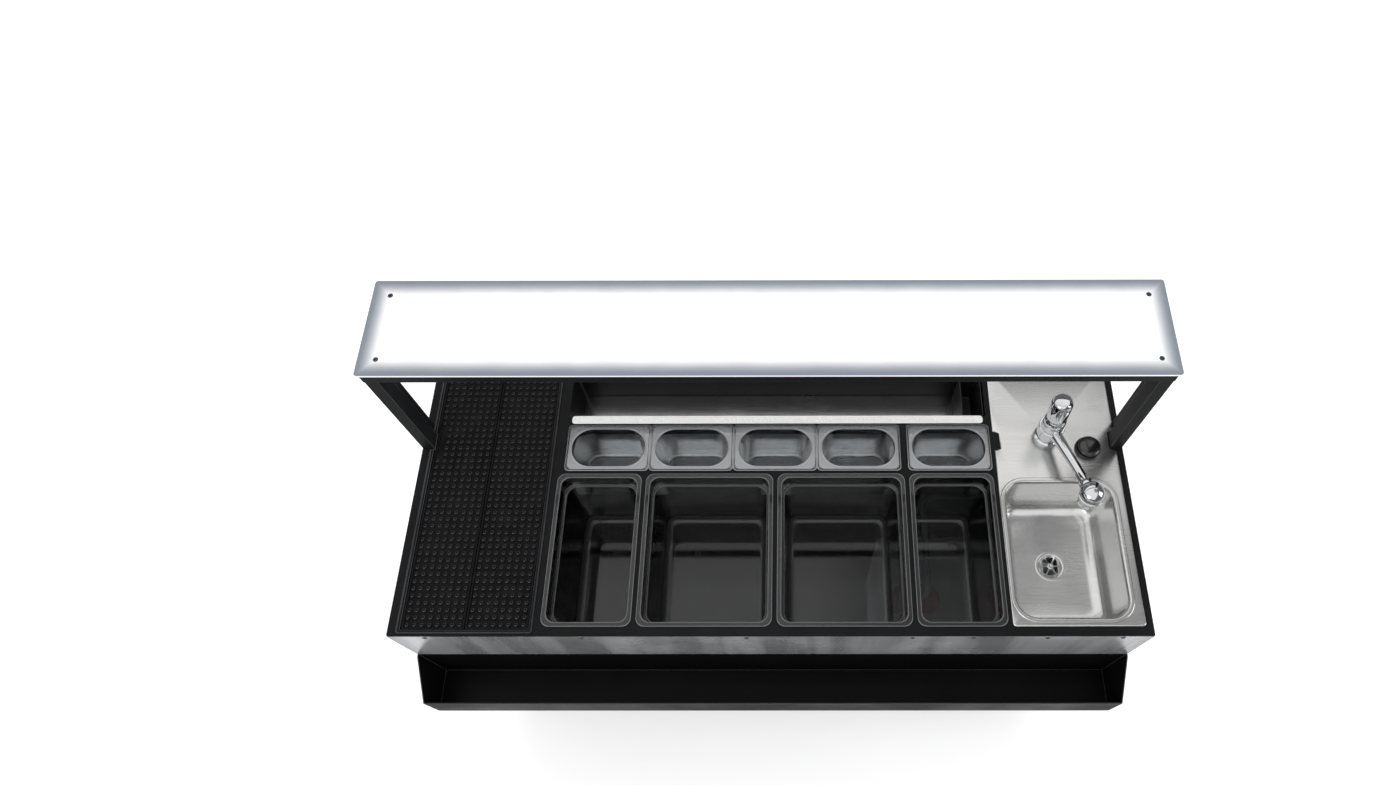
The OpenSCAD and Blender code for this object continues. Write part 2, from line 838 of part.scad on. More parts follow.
// Lever: a ball in the body's socket and a rounded grip above it
module tap_lever() {
    grip_r = tap_r - grip_in;
    lean = 8;
    color("gainsboro") place() translate([tap_x, tap_y, worktop_z + tap_h + 6]) {
        sphere(r = tap_r - 0.2);
        rotate([-lean, 0, 0]) {
            cylinder(r = grip_r, h = grip_h - grip_r);
            translate([0, 0, grip_h - grip_r]) sphere(r = grip_r);
        }
    }
}

// Ring around the pump button, with the threaded shank that holds it
module pump_bezel() {
    ring_h = 8;
    stem_hole = 5.3;
    color("#1d1e20") place() translate([button_x, button_y, worktop_z]) difference() {
        union() {
            cylinder(r = button_r + 4, h = ring_h);
            translate([0, 0, -24]) cylinder(r = button_shank_r, h = 25);
            translate([0, 0, -skin_t - 6]) cylinder(r = 14, h = 6);
        }
        translate([0, 0, button_base_t]) cylinder(r = button_r + 0.4, h = ring_h);
        translate([0, 0, -25]) cylinder(r = stem_hole, h = 40);
    }
}

module pump_button() {
    cap_z = button_base_t + button_travel + 0.5;
    cap_t = 13;
    color("#101112") place() translate([button_x, button_y, worktop_z]) {
        translate([0, 0, cap_z]) cylinder(r = button_r, h = cap_t - 2);
        translate([0, 0, cap_z + cap_t - 2]) cylinder(r1 = button_r, r2 = button_r - 3, h = 2);
        translate([0, 0, -18]) cylinder(r = 5, h = 18 + cap_z + 1);
    }
}

module lit_panel() {
    over = 3;
    color("white") place() difference() {
        slab(-half_w - over, shelf_front, panel_z, worktop_w + 2 * over, shelf_d, panel_t, 5);
        screw_places() {
            translate([0, 0, -1]) cylinder(r = screw_r + screw_clear, h = panel_t + 2);
            translate([0, 0, panel_t - screw_head_h])
                cylinder(r1 = screw_r + screw_clear, r2 = screw_head_r + screw_clear,
                    h = screw_head_h + eps);
        }
    }
}

// The four corner screws of the shelf, at the panel's underside
module screw_places() {
    for (x = [-half_w - 3 + screw_inset, half_w + 3 - screw_inset]) {
        for (y = [shelf_front + screw_inset, shelf_front + shelf_d - screw_inset]) {
            translate([x, y, panel_z]) children();
        }
    }
}

module shelf_frame() {
    over = 3;
    floor_t = 2;
    y = shelf_front + over;
    d = shelf_d - 2 * over;
    color("#2b2d2f") place() {
        difference() {
            slab(-half_w, y, shelf_frame_z, worktop_w, d, shelf_frame_h, 4);
            slab(-half_w + shelf_bar, y + shelf_bar, shelf_frame_z + floor_t,
                worktop_w - 2 * shelf_bar, d - 2 * shelf_bar, shelf_frame_h, 3);
        }
        screw_places() translate([0, 0, -shelf_frame_h + 1]) difference() {
            cylinder(r = 9, h = shelf_frame_h - 1);
            translate([0, 0, 4]) cylinder(r = screw_r + 0.1, h = shelf_frame_h);
        }
    }
}

module light_strips() {
    floor_t = 2;
    strip_w = 12;
    strip_t = 3;
    x = half_w - shelf_bar - 40;
    color("lightyellow") place() for (i = [1:3]) {
        translate([-x, shelf_front + shelf_d * i / 4 - strip_w / 2, shelf_frame_z + floor_t])
            cube([2 * x, strip_w, strip_t]);
    }
}

module shelf_screws() {
    color("dimgray") place() screw_places() {
        translate([0, 0, panel_t - screw_head_h])
            cylinder(r1 = screw_r, r2 = screw_head_r, h = screw_head_h - 0.1);
        translate([0, 0, -screw_deep]) cylinder(r = screw_r, h = screw_deep + panel_t - screw_head_h + 0.1);
    }
}

// A post: an upright plate with a batten on its inner face and a tenon below
module post(side) {
    flip = side < 0 ? 1 : 0;
    color("#2b2d2f") place() {
        mirror([flip, 0, 0]) {
            translate([half_w - post_t, post_front, worktop_z])
                cube([post_t, post_d, shelf_frame_z - worktop_z]);
            translate([half_w - post_t - batten_t, post_front, worktop_z])
                cube([batten_t + 1, batten_d, shelf_frame_z - worktop_z]);
        }
        translate([0, 0, worktop_z - tenon_long]) linear_extrude(tenon_long + 1)
            tenon_2d(side, 0);
    }
}

// Places of the screws along the apron's top edge, closer together beside the sink
module apron_screw_places() {
    shares = [-0.906, -0.496, -0.063, 0.372, 0.531, 0.725, 0.922];
    for (share = shares) {
        translate([share * half_w, 0, skin_z - 9]) rotate([90, 0, 0]) children();
    }
}

module front_apron() {
    color("gainsboro") place() difference() {
        translate([-half_w, 0, rail_top]) cube([worktop_w, apron_t, apron_h]);
        apron_screw_places() translate([0, 0, -apron_t - 1]) cylinder(r = 2.2, h = apron_t + 2);
    }
}

module apron_screws() {
    color("dimgray") place() apron_screw_places() {
        cylinder(r1 = 5, r2 = 3.6, h = 1.8);
        translate([0, 0, -apron_t - skirt_t]) cylinder(r = 2, h = apron_t + skirt_t + 1);
    }
}

// Speed rail: a back plate, a floor, a front wall and two sloping end cheeks
module speed_rail() {
    front_top = rail_z + rail_front_h;
    cheek_top = 6;
    profile = [[0, rail_z], [0, rail_top], [-cheek_top, rail_top], [-rail_d, front_top],
        [-rail_d, rail_z]];
    color("#17181a") place() {
        translate([-half_w, 0, rail_z]) cube([worktop_w, rail_t, rail_h]);
        translate([-half_w, -rail_d, rail_z]) cube([worktop_w, rail_d + 1, rail_t]);
        translate([-half_w, -rail_d, rail_z]) cube([worktop_w, rail_t, rail_front_h]);
        for (x = [-half_w, half_w - rail_t]) {
            translate([x, 0, 0]) rotate([90, 0, 90]) linear_extrude(rail_t) polygon(profile);
        }
    }
}

// A square tube, open at its ends, from one corner along x, y or z
module box_tube(size, axis) {
    w = tube_wall;
    difference() {
        cube(size);
        if (axis == 2) {
            translate([w, w, -1]) cube([size[0] - 2 * w, size[1] - 2 * w, size[2] + 2]);
        } else if (axis == 0) {
            translate([-1, w, w]) cube([size[0] + 2, size[1] - 2 * w, size[2] - 2 * w]);
        } else {
            translate([w, -1, w]) cube([size[0] - 2 * w, size[1] + 2, size[2] - 2 * w]);
        }
    }
}

// Welded base frame: four legs and the rails that carry the worktop
module base_frame() {
    leg_h = skirt_z - deck_top;
    long = 2 * leg_side - 2 * tube;
    deep = leg_back - leg_front - 2 * tube;
    color("#232425") place() {
        for (x = [-leg_side, leg_side - tube]) {
            for (y = [leg_front, leg_back - tube]) {
                translate([x, y, deck_top]) box_tube([tube, tube, leg_h], 2);
            }
        }
        for (y = [leg_front, leg_back - rail_tube]) {
            translate([-leg_side + tube, y, rails_z]) box_tube([long, rail_tube, tube], 0);
        }
        for (x = [-leg_side, leg_side - rail_tube]) {
            translate([x, leg_front + tube, rails_z]) box_tube([rail_tube, deep, tube], 1);
        }
    }
}

module bottom_deck() {
    color("#1d1e20") place() slab(-half_w, 0, deck_z, worktop_w, worktop_d, deck_t, 8);
}

module guest_panel() {
    color("#1d1e20") place()
        translate([-half_w + side_t, leg_back, deck_top])
            cube([worktop_w - 2 * side_t, guest_t - rivet_room, skirt_z - deck_top]);
}

module side_panel(side) {
    x = side < 0 ? -half_w : half_w - side_t;
    color("#1d1e20") place()
        translate([x, leg_front, deck_top])
            cube([side_t, worktop_d - leg_front, skirt_z - deck_top]);
}

// A water tank with its neck and a carrying handle
module tank(x) {
    cx = x + tank_w / 2;
    handle_w = 120;
    handle_d = 22;
    handle_h = 34;
    handle_leg = 16;
    handle_bar = 11;
    handle_front = 24;
    handle_y = tank_y + handle_front;
    color("#e6e9ea") place() {
        difference() {
            union() {
                slab(x, tank_y, deck_top, tank_w, tank_d, tank_h, tank_r);
                translate([cx, cap_y, tank_top - 1]) cylinder(r = neck_r, h = neck_h + 1);
            }
            slab(x + tank_wall, tank_y + tank_wall, deck_top + tank_wall,
                tank_w - 2 * tank_wall, tank_d - 2 * tank_wall, tank_h - 2 * tank_wall,
                tank_r - tank_wall);
            translate([cx, cap_y, tank_top - 10]) cylinder(r = neck_r - 3, h = neck_h + 12);
        }
        translate([cx - handle_w / 2, handle_y, tank_top - 1]) difference() {
            cube([handle_w, handle_d, handle_h + 1]);
            translate([handle_leg, -1, 1])
                cube([handle_w - 2 * handle_leg, handle_d + 2, handle_h - 1 - handle_bar]);
        }
    }
}

// A screw cap over a tank's neck, open in the middle for its pipe
module cap(cx, hole) {
    color("#c22a2a") place() translate([cx, cap_y, tank_top + cap_gap]) difference() {
        cylinder(r = cap_r, h = cap_top - tank_top - cap_gap);
        translate([0, 0, -1]) cylinder(r = neck_r + cap_gap, h = neck_h + 1 + cap_gap);
        translate([0, 0, -1]) cylinder(r = hole, h = cap_h + 10);
    }
}

// Submersible pump on the fresh tank's floor, with its riser up to the cap
module water_pump() {
    floor_z = deck_top + tank_wall;
    color("#2a5d8f") place() translate([fresh_cap_x, cap_y, floor_z]) {
        cylinder(r = pump_r, h = pump_h);
        cylinder(r = hose_r, h = cap_top - floor_z);
    }
}

// A quarter bend from the origin: it starts along +Z and ends along +X
module bend() {
    translate([hose_bend, 0, 0]) rotate([90, 0, 0]) rotate([0, 0, 90])
        rotate_extrude(angle = 90) translate([hose_bend, 0]) circle(r = hose_r);
}

// Supply hose from the fresh tank's cap up, back, across and up to the tap's shank
module supply_hose() {
    start = [fresh_cap_x, cap_y];
    low = cap_top + cap_gap;
    b = hose_bend;
    end_z = worktop_z - shank_long;
    color("#9fb4c4") place() {
        translate([start[0], start[1], low]) cylinder(r = hose_r, h = hose_z - b - low);
        translate([start[0], start[1], hose_z - b]) rotate(90) bend();
        translate([start[0], start[1] + b, hose_z]) rotate([-90, 0, 0])
            cylinder(r = hose_r, h = tap_y - start[1] - 2 * b);
        translate([start[0], tap_y - b, hose_z]) rotate([-90, 0, 0]) bend();
        translate([start[0] + b, tap_y, hose_z]) rotate([0, 90, 0])
            cylinder(r = hose_r, h = tap_x - start[0] - 2 * b);
        translate([tap_x, tap_y, hose_z + b]) rotate([0, 180, 0]) bend();
        translate([tap_x, tap_y, hose_z + b]) cylinder(r = hose_r, h = end_z - hose_z - b);
    }
}

// Power box with a mains inlet and the opening of its switch
module power_box() {
    color("#2d3033") place() difference() {
        slab(power_x, power_y, deck_top, power_w, power_d, power_h, 6);
        translate([power_x + 80, power_y - 1, deck_top + 30]) cube([28, 17, 20]);
        translate([switch_x - switch_w / 2 - 0.5, power_y - 1, switch_z - switch_h / 2 - 0.5])
            cube([switch_w + 1, 9, switch_h + 1]);
    }
    color("#8a8d90") place() for (x = [87, 94, 101]) {
        translate([power_x + x - 1, power_y + 6, deck_top + 38]) cube([2, 11, 4]);
    }
}

// Rocker switch: a shallow wedge that tips about its middle
module power_switch() {
    face = 5;
    tip = 3;
    outline = [[0, -switch_h / 2 + 1], [-tip, -switch_h / 2 + 1], [-1, 0], [-1.2, switch_h / 2 - 1],
        [face - 2, switch_h / 2 - 1], [face, 0], [face - 2, -switch_h / 2 + 1]];
    color("#8f1f1c") place()
        translate([switch_x - switch_w / 2, power_y + 1, switch_z])
            rotate([90, 0, 90]) linear_extrude(switch_w) polygon(outline);
}

// The four caster plates, each with the boss that holds a kingpin
module caster_plates() {
    color("silver") place() for (x = [-caster_x, caster_x]) {
        for (y = [caster_in_y, caster_back]) {
            translate([x, y, 0]) difference() {
                union() {
                    slab(-plate_w / 2, -plate_d / 2, deck_z - plate_t, plate_w, plate_d, plate_t, 6);
                    translate([0, 0, deck_z - plate_t - boss_h]) cylinder(r = boss_r, h = boss_h + 1);
                }
                translate([0, 0, deck_z - plate_t - boss_h - 1])
                    cylinder(r = king_r + king_clear, h = boss_h + plate_t);
            }
        }
    }
}

// A fork: a head disc, a kingpin, two side plates, the axle and, where braked, the pedal's pin
module fork(x, y, braked) {
    head_z = deck_z - plate_t - boss_h - swivel_gap - head_t;
    half_in = wheel_w / 2 + fork_gap;
    outline = braked
        ? [[-20, head_z + 1], [26, head_z + 1], [pedal_u + 8, pedal_z + 4], [pedal_u + 8, pedal_z - 8],
            [trail + 12, wheel_r - 11], [trail - 12, wheel_r - 11]]
        : [[-20, head_z + 1], [26, head_z + 1], [trail + 12, wheel_r - 11], [trail - 12, wheel_r - 11]];
    color("silver") place() translate([x, y, 0]) {
        translate([0, 0, head_z]) cylinder(r = head_r, h = head_t);
        translate([0, 0, head_z]) cylinder(r = king_r, h = head_t + swivel_gap + boss_h + 2);
        for (s = [-half_in - fork_t, half_in]) {
            translate([0, s + fork_t, 0]) rotate([90, 0, 0]) linear_extrude(fork_t) polygon(outline);
        }
        translate([trail, half_in + 1, wheel_r]) rotate([90, 0, 0])
            cylinder(r = axle_r, h = 2 * half_in + 2);
        if (braked) {
            translate([pedal_u, half_in + 1, pedal_z]) rotate([90, 0, 0])
                cylinder(r = pin_r, h = 2 * half_in + 2);
        }
    }
}

// A wheel with a rounded tread and a dished hub
module wheel(x, y) {
    tread = 5;
    w = wheel_w / 2;
    outline = [[axle_r + axle_clear, -w], [13, -w], [15, -w + 4], [wheel_r - 14, -w + 4],
        [wheel_r - 12, -w], [wheel_r - tread, -w], [wheel_r, -w + tread], [wheel_r, w - tread],
        [wheel_r - tread, w], [wheel_r - 12, w], [wheel_r - 14, w - 4], [15, w - 4], [13, w],
        [axle_r + axle_clear, w]];
    color("#3b3d40") place() translate([x + trail, y, wheel_r]) rotate([90, 0, 0])
        rotate_extrude() polygon(outline);
}

// Brake pedal: a sleeve on its pin and a foot plate with a shoe above the tread
module pedal(x, y) {
    half = wheel_w / 2 + fork_gap - 0.5;
    sleeve_r = 6;
    color("#b02322") place() translate([x + pedal_u, y, pedal_z]) rotate([90, 0, 0]) difference() {
        translate([0, 0, -half]) union() {
            cylinder(r = sleeve_r, h = 2 * half);
            linear_extrude(2 * half) polygon([[0, 4.5], [32, -2], [38, -2], [38, -5], [31, -6], [0, -4.5]]);
        }
        translate([0, 0, -half - 1]) cylinder(r = pin_r + axle_clear, h = 2 * half + 2);
    }
}

worktop_frame();
drip_tray();
mat(0);  // mat_left
mat(1);  // mat_right
well(0);  // bottle_well_left
well(1);  // ice_well_left
well(2);  // ice_well_right
well(3);  // bottle_well_right
garnish_pan(0);  // garnish_pan_1
garnish_pan(1);  // garnish_pan_2
garnish_pan(2);  // garnish_pan_3
garnish_pan(3);  // garnish_pan_4
garnish_pan(4);  // garnish_pan_5
garnish_tray();
trough_walls();
trough_floor();
trough_lip();
waste_bin();
sink_unit();
drain_fitting();
drain_strainer();
drain_pipe();
tap_body();
tap_spout();
tap_lever();
pump_bezel();
pump_button();
lit_panel();
shelf_frame();
light_strips();
shelf_screws();
post(-1);  // post_left
post(1);  // post_right
front_apron();
apron_screws();
speed_rail();
base_frame();
bottom_deck();
guest_panel();
side_panel(-1);  // side_panel_left
side_panel(1);  // side_panel_right
tank(fresh_x);  // fresh_tank
cap(fresh_cap_x, hose_r + cap_gap);  // fresh_cap
water_pump();
tank(waste_x);  // waste_tank
cap(drain_x, pipe_r - 2);  // waste_cap
supply_hose();
power_box();
power_switch();
caster_plates();
fork(-caster_x, caster_in_y, true);  // fork_front_left
fork(caster_x, caster_in_y, true);  // fork_front_right
fork(-caster_x, caster_back, false);  // fork_back_left
fork(caster_x, caster_back, false);  // fork_back_right
wheel(-caster_x, caster_in_y);  // wheel_front_left
wheel(caster_x, caster_in_y);  // wheel_front_right
wheel(-caster_x, caster_back);  // wheel_back_left
wheel(caster_x, caster_back);  // wheel_back_right
pedal(-caster_x, caster_in_y);  // pedal_left
pedal(caster_x, caster_in_y);  // pedal_right
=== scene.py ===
"""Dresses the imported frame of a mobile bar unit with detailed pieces, finishes, lights and camera.

All lengths are in metres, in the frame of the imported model: x from the middle of the unit,
y from the speed rail towards the guest side, z up from the floor.
"""

import json
import math

import bmesh
import bpy
from bpy.props import FloatProperty, FloatVectorProperty, IntProperty, PointerProperty
from mathutils import Matrix, Vector

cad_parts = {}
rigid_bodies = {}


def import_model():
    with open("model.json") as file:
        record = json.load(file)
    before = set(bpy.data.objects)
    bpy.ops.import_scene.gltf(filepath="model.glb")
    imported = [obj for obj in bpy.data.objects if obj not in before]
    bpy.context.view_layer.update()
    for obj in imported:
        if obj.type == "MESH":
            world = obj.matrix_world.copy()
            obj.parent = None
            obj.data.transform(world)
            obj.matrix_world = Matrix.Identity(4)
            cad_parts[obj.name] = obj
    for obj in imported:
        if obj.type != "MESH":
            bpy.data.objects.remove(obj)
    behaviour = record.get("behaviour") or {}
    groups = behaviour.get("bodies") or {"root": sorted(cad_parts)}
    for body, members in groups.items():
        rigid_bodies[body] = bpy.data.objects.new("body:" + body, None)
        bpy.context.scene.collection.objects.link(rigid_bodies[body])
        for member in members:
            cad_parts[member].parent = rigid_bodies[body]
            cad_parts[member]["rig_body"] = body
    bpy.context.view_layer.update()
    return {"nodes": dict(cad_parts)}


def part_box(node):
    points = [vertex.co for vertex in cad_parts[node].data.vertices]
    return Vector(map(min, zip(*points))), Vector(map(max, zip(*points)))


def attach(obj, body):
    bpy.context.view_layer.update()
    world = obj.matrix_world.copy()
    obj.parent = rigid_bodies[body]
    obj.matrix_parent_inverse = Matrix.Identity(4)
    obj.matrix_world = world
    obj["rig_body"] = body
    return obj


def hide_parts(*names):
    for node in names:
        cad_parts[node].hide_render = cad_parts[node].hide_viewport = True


bl_info = {
    "name": "Mobile bar unit",
    "version": (1, 0, 0),
    "blender": (4, 5, 0),
    "location": "3D View > Sidebar > Bar unit",
    "description": "Dresses the frame of a mobile bar unit with its pieces and finishes",
    "category": "Object",
}

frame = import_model()

MM = 0.001
BEAD_H = 2 * MM
WORKTOP_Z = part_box("sink_unit")[1].z - BEAD_H
HALF_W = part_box("worktop_frame")[1].x
FRONT_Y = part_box("front_apron")[0].y
WELLS = ("bottle_well_left", "ice_well_left", "ice_well_right", "bottle_well_right")
GARNISH_PANS = tuple(f"garnish_pan_{number}" for number in range(1, 6))
CASTERS = ("front_left", "front_right", "back_left", "back_right")
SCREW_SIZES = ("Foot", "Top", "Height", "Recess", "Shank", "Shank Length")

QUARTER_TURN = math.radians(90.0)
FLAT_ANGLE = math.radians(0.5)
BEVEL_ANGLE = math.radians(35.0)

# The angles in degrees from which edges stay sharp
CAD_SHARP = 30.0
GROWN_SHARP = 32.0
TURNED_SHARP = 34.0
COLUMN_SHARP = 36.0
SMALL_SHARP = 40.0
TUB_SHARP = 50.0

# Steps around a turned shape
ROUND_STEPS = 64
BALL_STEPS = 56

# How near points are merged, the least gap or radius, a fine grain's depth, a cap's ribs and the
# width of the glint beside an edge
MERGE = 2e-6
CAD_MERGE = 5e-6
HAIR = 1e-5
FINE_GRAIN = 1e-5
RIB_R = 1.2 * MM
GLINT = 0.5 * MM

# The camera, fitted to the corners of the worktop, the wells and the shelf
IMAGE_W = 1396
IMAGE_H = 785
FOCAL_PX = 863.26
CENTRE_PX = (791.56, 472.92)
CAMERA_TILT = math.radians(65.528)
CAMERA_ROLL = math.radians(-0.472)
CAMERA_PAN = math.radians(0.446)
CAMERA_FROM_FRONT = Vector((46.96, -402.99, 1644.54)) * MM


def length_property(name, description, default):
    return FloatProperty(name=name, description=description, default=default, unit="LENGTH")


def colour_property(name, description, *default):
    return FloatVectorProperty(name=name, description=description, default=default, subtype="COLOR")


class BarSizes(bpy.types.PropertyGroup):
    """Sizes of the details that are added to the frame."""

    edge: length_property("Edge radius", "Rounding of sheet edges", 0.7 * MM)
    nub_across: length_property("Nub pitch across", "Distance between nubs in a row", 14.8 * MM)
    nub_along: length_property("Nub pitch along", "Distance between rows of nubs", 14.5 * MM)
    nub_radius: length_property("Nub radius", "Radius of a nub at its foot", 4.4 * MM)
    nub_height: length_property("Nub height", "Height of a nub above the mat", 3.9 * MM)
    bowl_corner: length_property("Bowl corner", "Radius of the sink bowl's corners", 40 * MM)
    bowl_depth: length_property(
        "Bowl depth", "Depth of the sink bowl", WORKTOP_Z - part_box("drain_strainer")[0].z
    )
    well_corner: length_property("Well corner", "Radius of a well's inner corners", 24 * MM)
    panel_margin: length_property("Unlit margin", "Width of the lit panel's dim margin", 40 * MM)
    rivet_pitch: length_property("Rivet pitch", "Distance between the panels' rivets", 98 * MM)
    cap_ribs: IntProperty(
        name="Cap ribs", description="Number of ribs around a tank's cap", default=28
    )


class BarColours(bpy.types.PropertyGroup):
    """Colours of the finishes, linear."""

    powder: colour_property("Powder coat", "Frame, posts and shelf frame", 0.0095, 0.0098, 0.0105)
    black: colour_property("Black coat", "Speed rail, trough and base", 0.0055, 0.0055, 0.006)
    rubber: colour_property("Rubber", "Drip mats", 0.0065, 0.0065, 0.007)
    steel: colour_property("Steel", "Sink, trays and lip", 0.66, 0.66, 0.655)
    chrome: colour_property("Chrome", "Tap and drain", 0.62, 0.63, 0.64)
    clear: colour_property("Clear plastic", "Garnish pans", 0.62, 0.64, 0.66)
    smoky: colour_property("Smoky plastic", "Wells", 0.24, 0.245, 0.25)
    edge_light: colour_property("Edge light", "Light along clear edges", 0.42, 0.43, 0.44)
    lit: colour_property("Lit panel", "Middle of the lit panel", 1.0, 0.985, 0.975)
    unlit: colour_property("Unlit margin", "Edge of the lit panel", 0.19, 0.215, 0.25)
    red: colour_property("Red plastic", "Caps, switch and brake pedals", 0.42, 0.022, 0.018)
    tank: colour_property("Tank plastic", "Water tanks", 0.74, 0.76, 0.76)


def sizes():
    return bpy.context.scene.bar_sizes


def colours():
    return bpy.context.scene.bar_colours


# Node trees, for finishes and for geometry


class Wire:
    """A socket of a node tree, so that its maths reads as a plain expression."""

    def __init__(self, nodes, socket):
        self.nodes = nodes
        self.socket = socket

    def maths(self, operation, *others):
        return self.nodes.add("ShaderNodeMath", {"operation": operation}, self, *others)

    def also(self, label):
        """Another output of the same node."""
        return Wire(self.nodes, self.socket.node.outputs[label])

    def __add__(self, other):
        return self.maths("ADD", other)

    __radd__ = __add__

    def __sub__(self, other):
        return self.maths("SUBTRACT", other)

    def __rsub__(self, other):
        return self.nodes.add("ShaderNodeMath", {"operation": "SUBTRACT"}, other, self)

    def __mul__(self, other):
        return self.maths("MULTIPLY", other)

    __rmul__ = __mul__

    def __truediv__(self, other):
        return self.maths("DIVIDE", other)

    def __abs__(self):
        return self.maths("ABSOLUTE")


class Nodes:
    """Adds nodes to a tree and links them."""

    def __init__(self, tree):
        self.tree = tree

    def add(self, kind, settings=None, *values, out=0, **named):
        """Makes a node, sets it up, fills its sockets in order or by name, and gives one output."""
        node = self.tree.nodes.new(kind)
        for key, value in (settings or {}).items():
            setattr(node, key, value)
        for place, value in enumerate(values):
            if value is not None:
                self.fill(node.inputs[place], value)
        for key, value in named.items():
            self.fill(node.inputs[key.replace("_", " ")], value)
        return Wire(self, node.outputs[out]) if node.outputs else None

    def ramp(self, value, low, high, to_low=0.0, to_high=1.0):
        """A smooth step from one value to another."""
        settings = {"interpolation_type": "SMOOTHSTEP", "clamp": True}
        return self.add("ShaderNodeMapRange", settings, value, low, high, to_low, to_high)

    def fill(self, socket, value):
        """Sets a socket or links it; a list of wires goes to a socket that takes several."""
        for one in value if isinstance(value, list) else [value]:
            if isinstance(one, Wire):
                self.tree.links.new(one.socket, socket)
            else:
                socket.default_value = one


class Finish(Nodes):
    """A material's node tree with its Principled shader."""

    def __init__(self, name, base, roughness, metallic=0.0, **fixed):
        self.material = bpy.data.materials.new(name)
        self.material.use_nodes = True
        super().__init__(self.material.node_tree)
        self.shader = self.tree.nodes["Principled BSDF"]
        self.place = self.add("ShaderNodeTexCoord", out="Object")
        self.set(Base_Color=(*base, 1.0), Roughness=roughness, Metallic=metallic, **fixed)

    def set(self, **named):
        for key, value in named.items():
            self.fill(self.shader.inputs[key.replace("_", " ")], value)

    def noise(self, scale, detail, stretch=(1.0, 1.0, 1.0)):
        """Noise in cycles per metre, stretched along the axes."""
        grid = self.add(
            "ShaderNodeMapping", None, self.place, Scale=tuple(scale * s for s in stretch)
        )
        return self.add("ShaderNodeTexNoise", None, grid, Scale=1.0, Detail=detail, out="Fac")

    def axis(self, letter):
        return self.add("ShaderNodeSeparateXYZ", None, self.place, out=letter)

    def edge(self):
        """The mark that a mesh carries along its edges: the share of painted highlight there."""
        return self.add("ShaderNodeAttribute", {"attribute_name": "edge"}, out="Fac")

    def shade(self, mask, dark, light):
        """A colour between two, by a mask from 0 to 1."""
        ends = [end if isinstance(end, Wire) else (*end, 1.0) for end in (dark, light)]
        unused = [None] * 5
        return self.add("ShaderNodeMix", {"data_type": "RGBA"}, mask, *unused, *ends, out=2)

    def bump(self, height, distance, strength):
        relief = {"Height": height, "Distance": distance, "Strength": strength}
        self.set(Normal=self.add("ShaderNodeBump", None, **relief))


def tinted(colour, share):
    return tuple(min(1.0, c * share) for c in colour)


def powder_coat(name, colour, roughness=0.42, glowing_underside=None):
    """Powder coat with a fine orange peel, smudges and scuffs; an underside may glow, as painted
    light.
    """
    f = Finish(name, colour, roughness, Specular_IOR_Level=0.07)
    smudge = f.noise(7.0, 4.0)
    grain = f.noise(900.0, 2.0)
    scuff = f.ramp(f.noise(260.0, 4.0, (1.0, 0.2, 1.0)), 0.62, 0.76) * f.ramp(smudge, 0.45, 0.7)
    coat = f.shade(f.ramp(smudge, 0.3, 0.7), tinted(colour, 0.86), tinted(colour, 1.18))
    coat = f.shade(scuff * 0.5, coat, tinted(colour, 2.4))
    # Inside a border of about 12 mm the underside is painted pale and glows with the panel's light:
    # painted light, not a lamp.
    if glowing_underside:
        low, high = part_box(glowing_underside)
        middle = (low + high) / 2
        reach = (high - low) / 2 - Vector((1.0, 1.0, 1.0)) * 12 * MM
        inside = f.ramp(f.axis("Z"), low.z + 0.2 * MM, low.z + 0.4 * MM, 1.0, 0.0)
        for letter, centre, end in (("X", middle.x, reach.x), ("Y", middle.y, reach.y)):
            inside = inside * f.ramp(abs(f.axis(letter) - centre), end - 1 * MM, end, 1.0, 0.0)
        coat = f.shade(inside, coat, (0.8, 0.8, 0.8))
        f.set(
            Emission_Color=f.shade(inside, (0.0, 0.0, 0.0), colours().lit), Emission_Strength=0.82
        )
    f.set(Base_Color=coat)
    f.set(Roughness=f.ramp(smudge, 0.25, 0.75, roughness - 0.07, roughness + 0.1))
    f.bump(grain, 0.00012, 0.5)
    return f.material


def brushed_steel(name, colour, along, roughness):
    """Stainless steel brushed along x, y or z, with faint handling marks."""
    f = Finish(name, colour, roughness, 1.0)

    def brushed(scale, share):
        return f.noise(scale, 2.0, tuple(share if letter == along else 1.0 for letter in "xyz"))

    lines = brushed(1400.0, 0.012)
    broad = brushed(160.0, 0.02)
    marks = f.ramp(f.noise(9.0, 4.0), 0.5, 0.8, 0.0, 0.05)
    tone = f.ramp(lines * 0.6 + broad * 0.4, 0.3, 0.7)
    f.set(Base_Color=f.shade(tone, tinted(colour, 0.95), tinted(colour, 1.04)))
    f.set(Roughness=f.ramp(lines, 0.3, 0.7, roughness - 0.03, roughness + 0.04) + marks)
    f.bump(lines, 0.00003, 0.4)
    return f.material


def polished_steel(name, colour):
    """Polished sheet with soft upright streaks painted into its colour as reflections, and wipe
    marks.
    """
    f = Finish(name, colour, 0.2, 0.6)
    streak = f.noise(16.0, 3.0, (1.0, 1.0, 0.12))
    wipe = f.noise(5.0, 5.0, (1.0, 1.0, 2.5))
    # Upright streaks lighten and darken the colour: painted reflections.
    f.set(
        Base_Color=f.shade(f.ramp(streak, 0.34, 0.66), tinted(colour, 0.62), tinted(colour, 1.12))
    )
    f.set(Roughness=f.ramp(wipe, 0.35, 0.75, 0.2, 0.3))
    f.bump(streak, 0.0006, 0.3)
    return f.material


def chrome_plate(name, colour):
    """Chrome plate with a breath of water marks."""
    f = Finish(name, colour, 0.04, 1.0)
    spots = f.noise(260.0, 3.0)
    f.set(Roughness=f.ramp(spots, 0.55, 0.8, 0.035, 0.13))
    f.set(Base_Color=f.shade(f.ramp(spots, 0.5, 0.8), colour, tinted(colour, 0.92)))
    return f.material


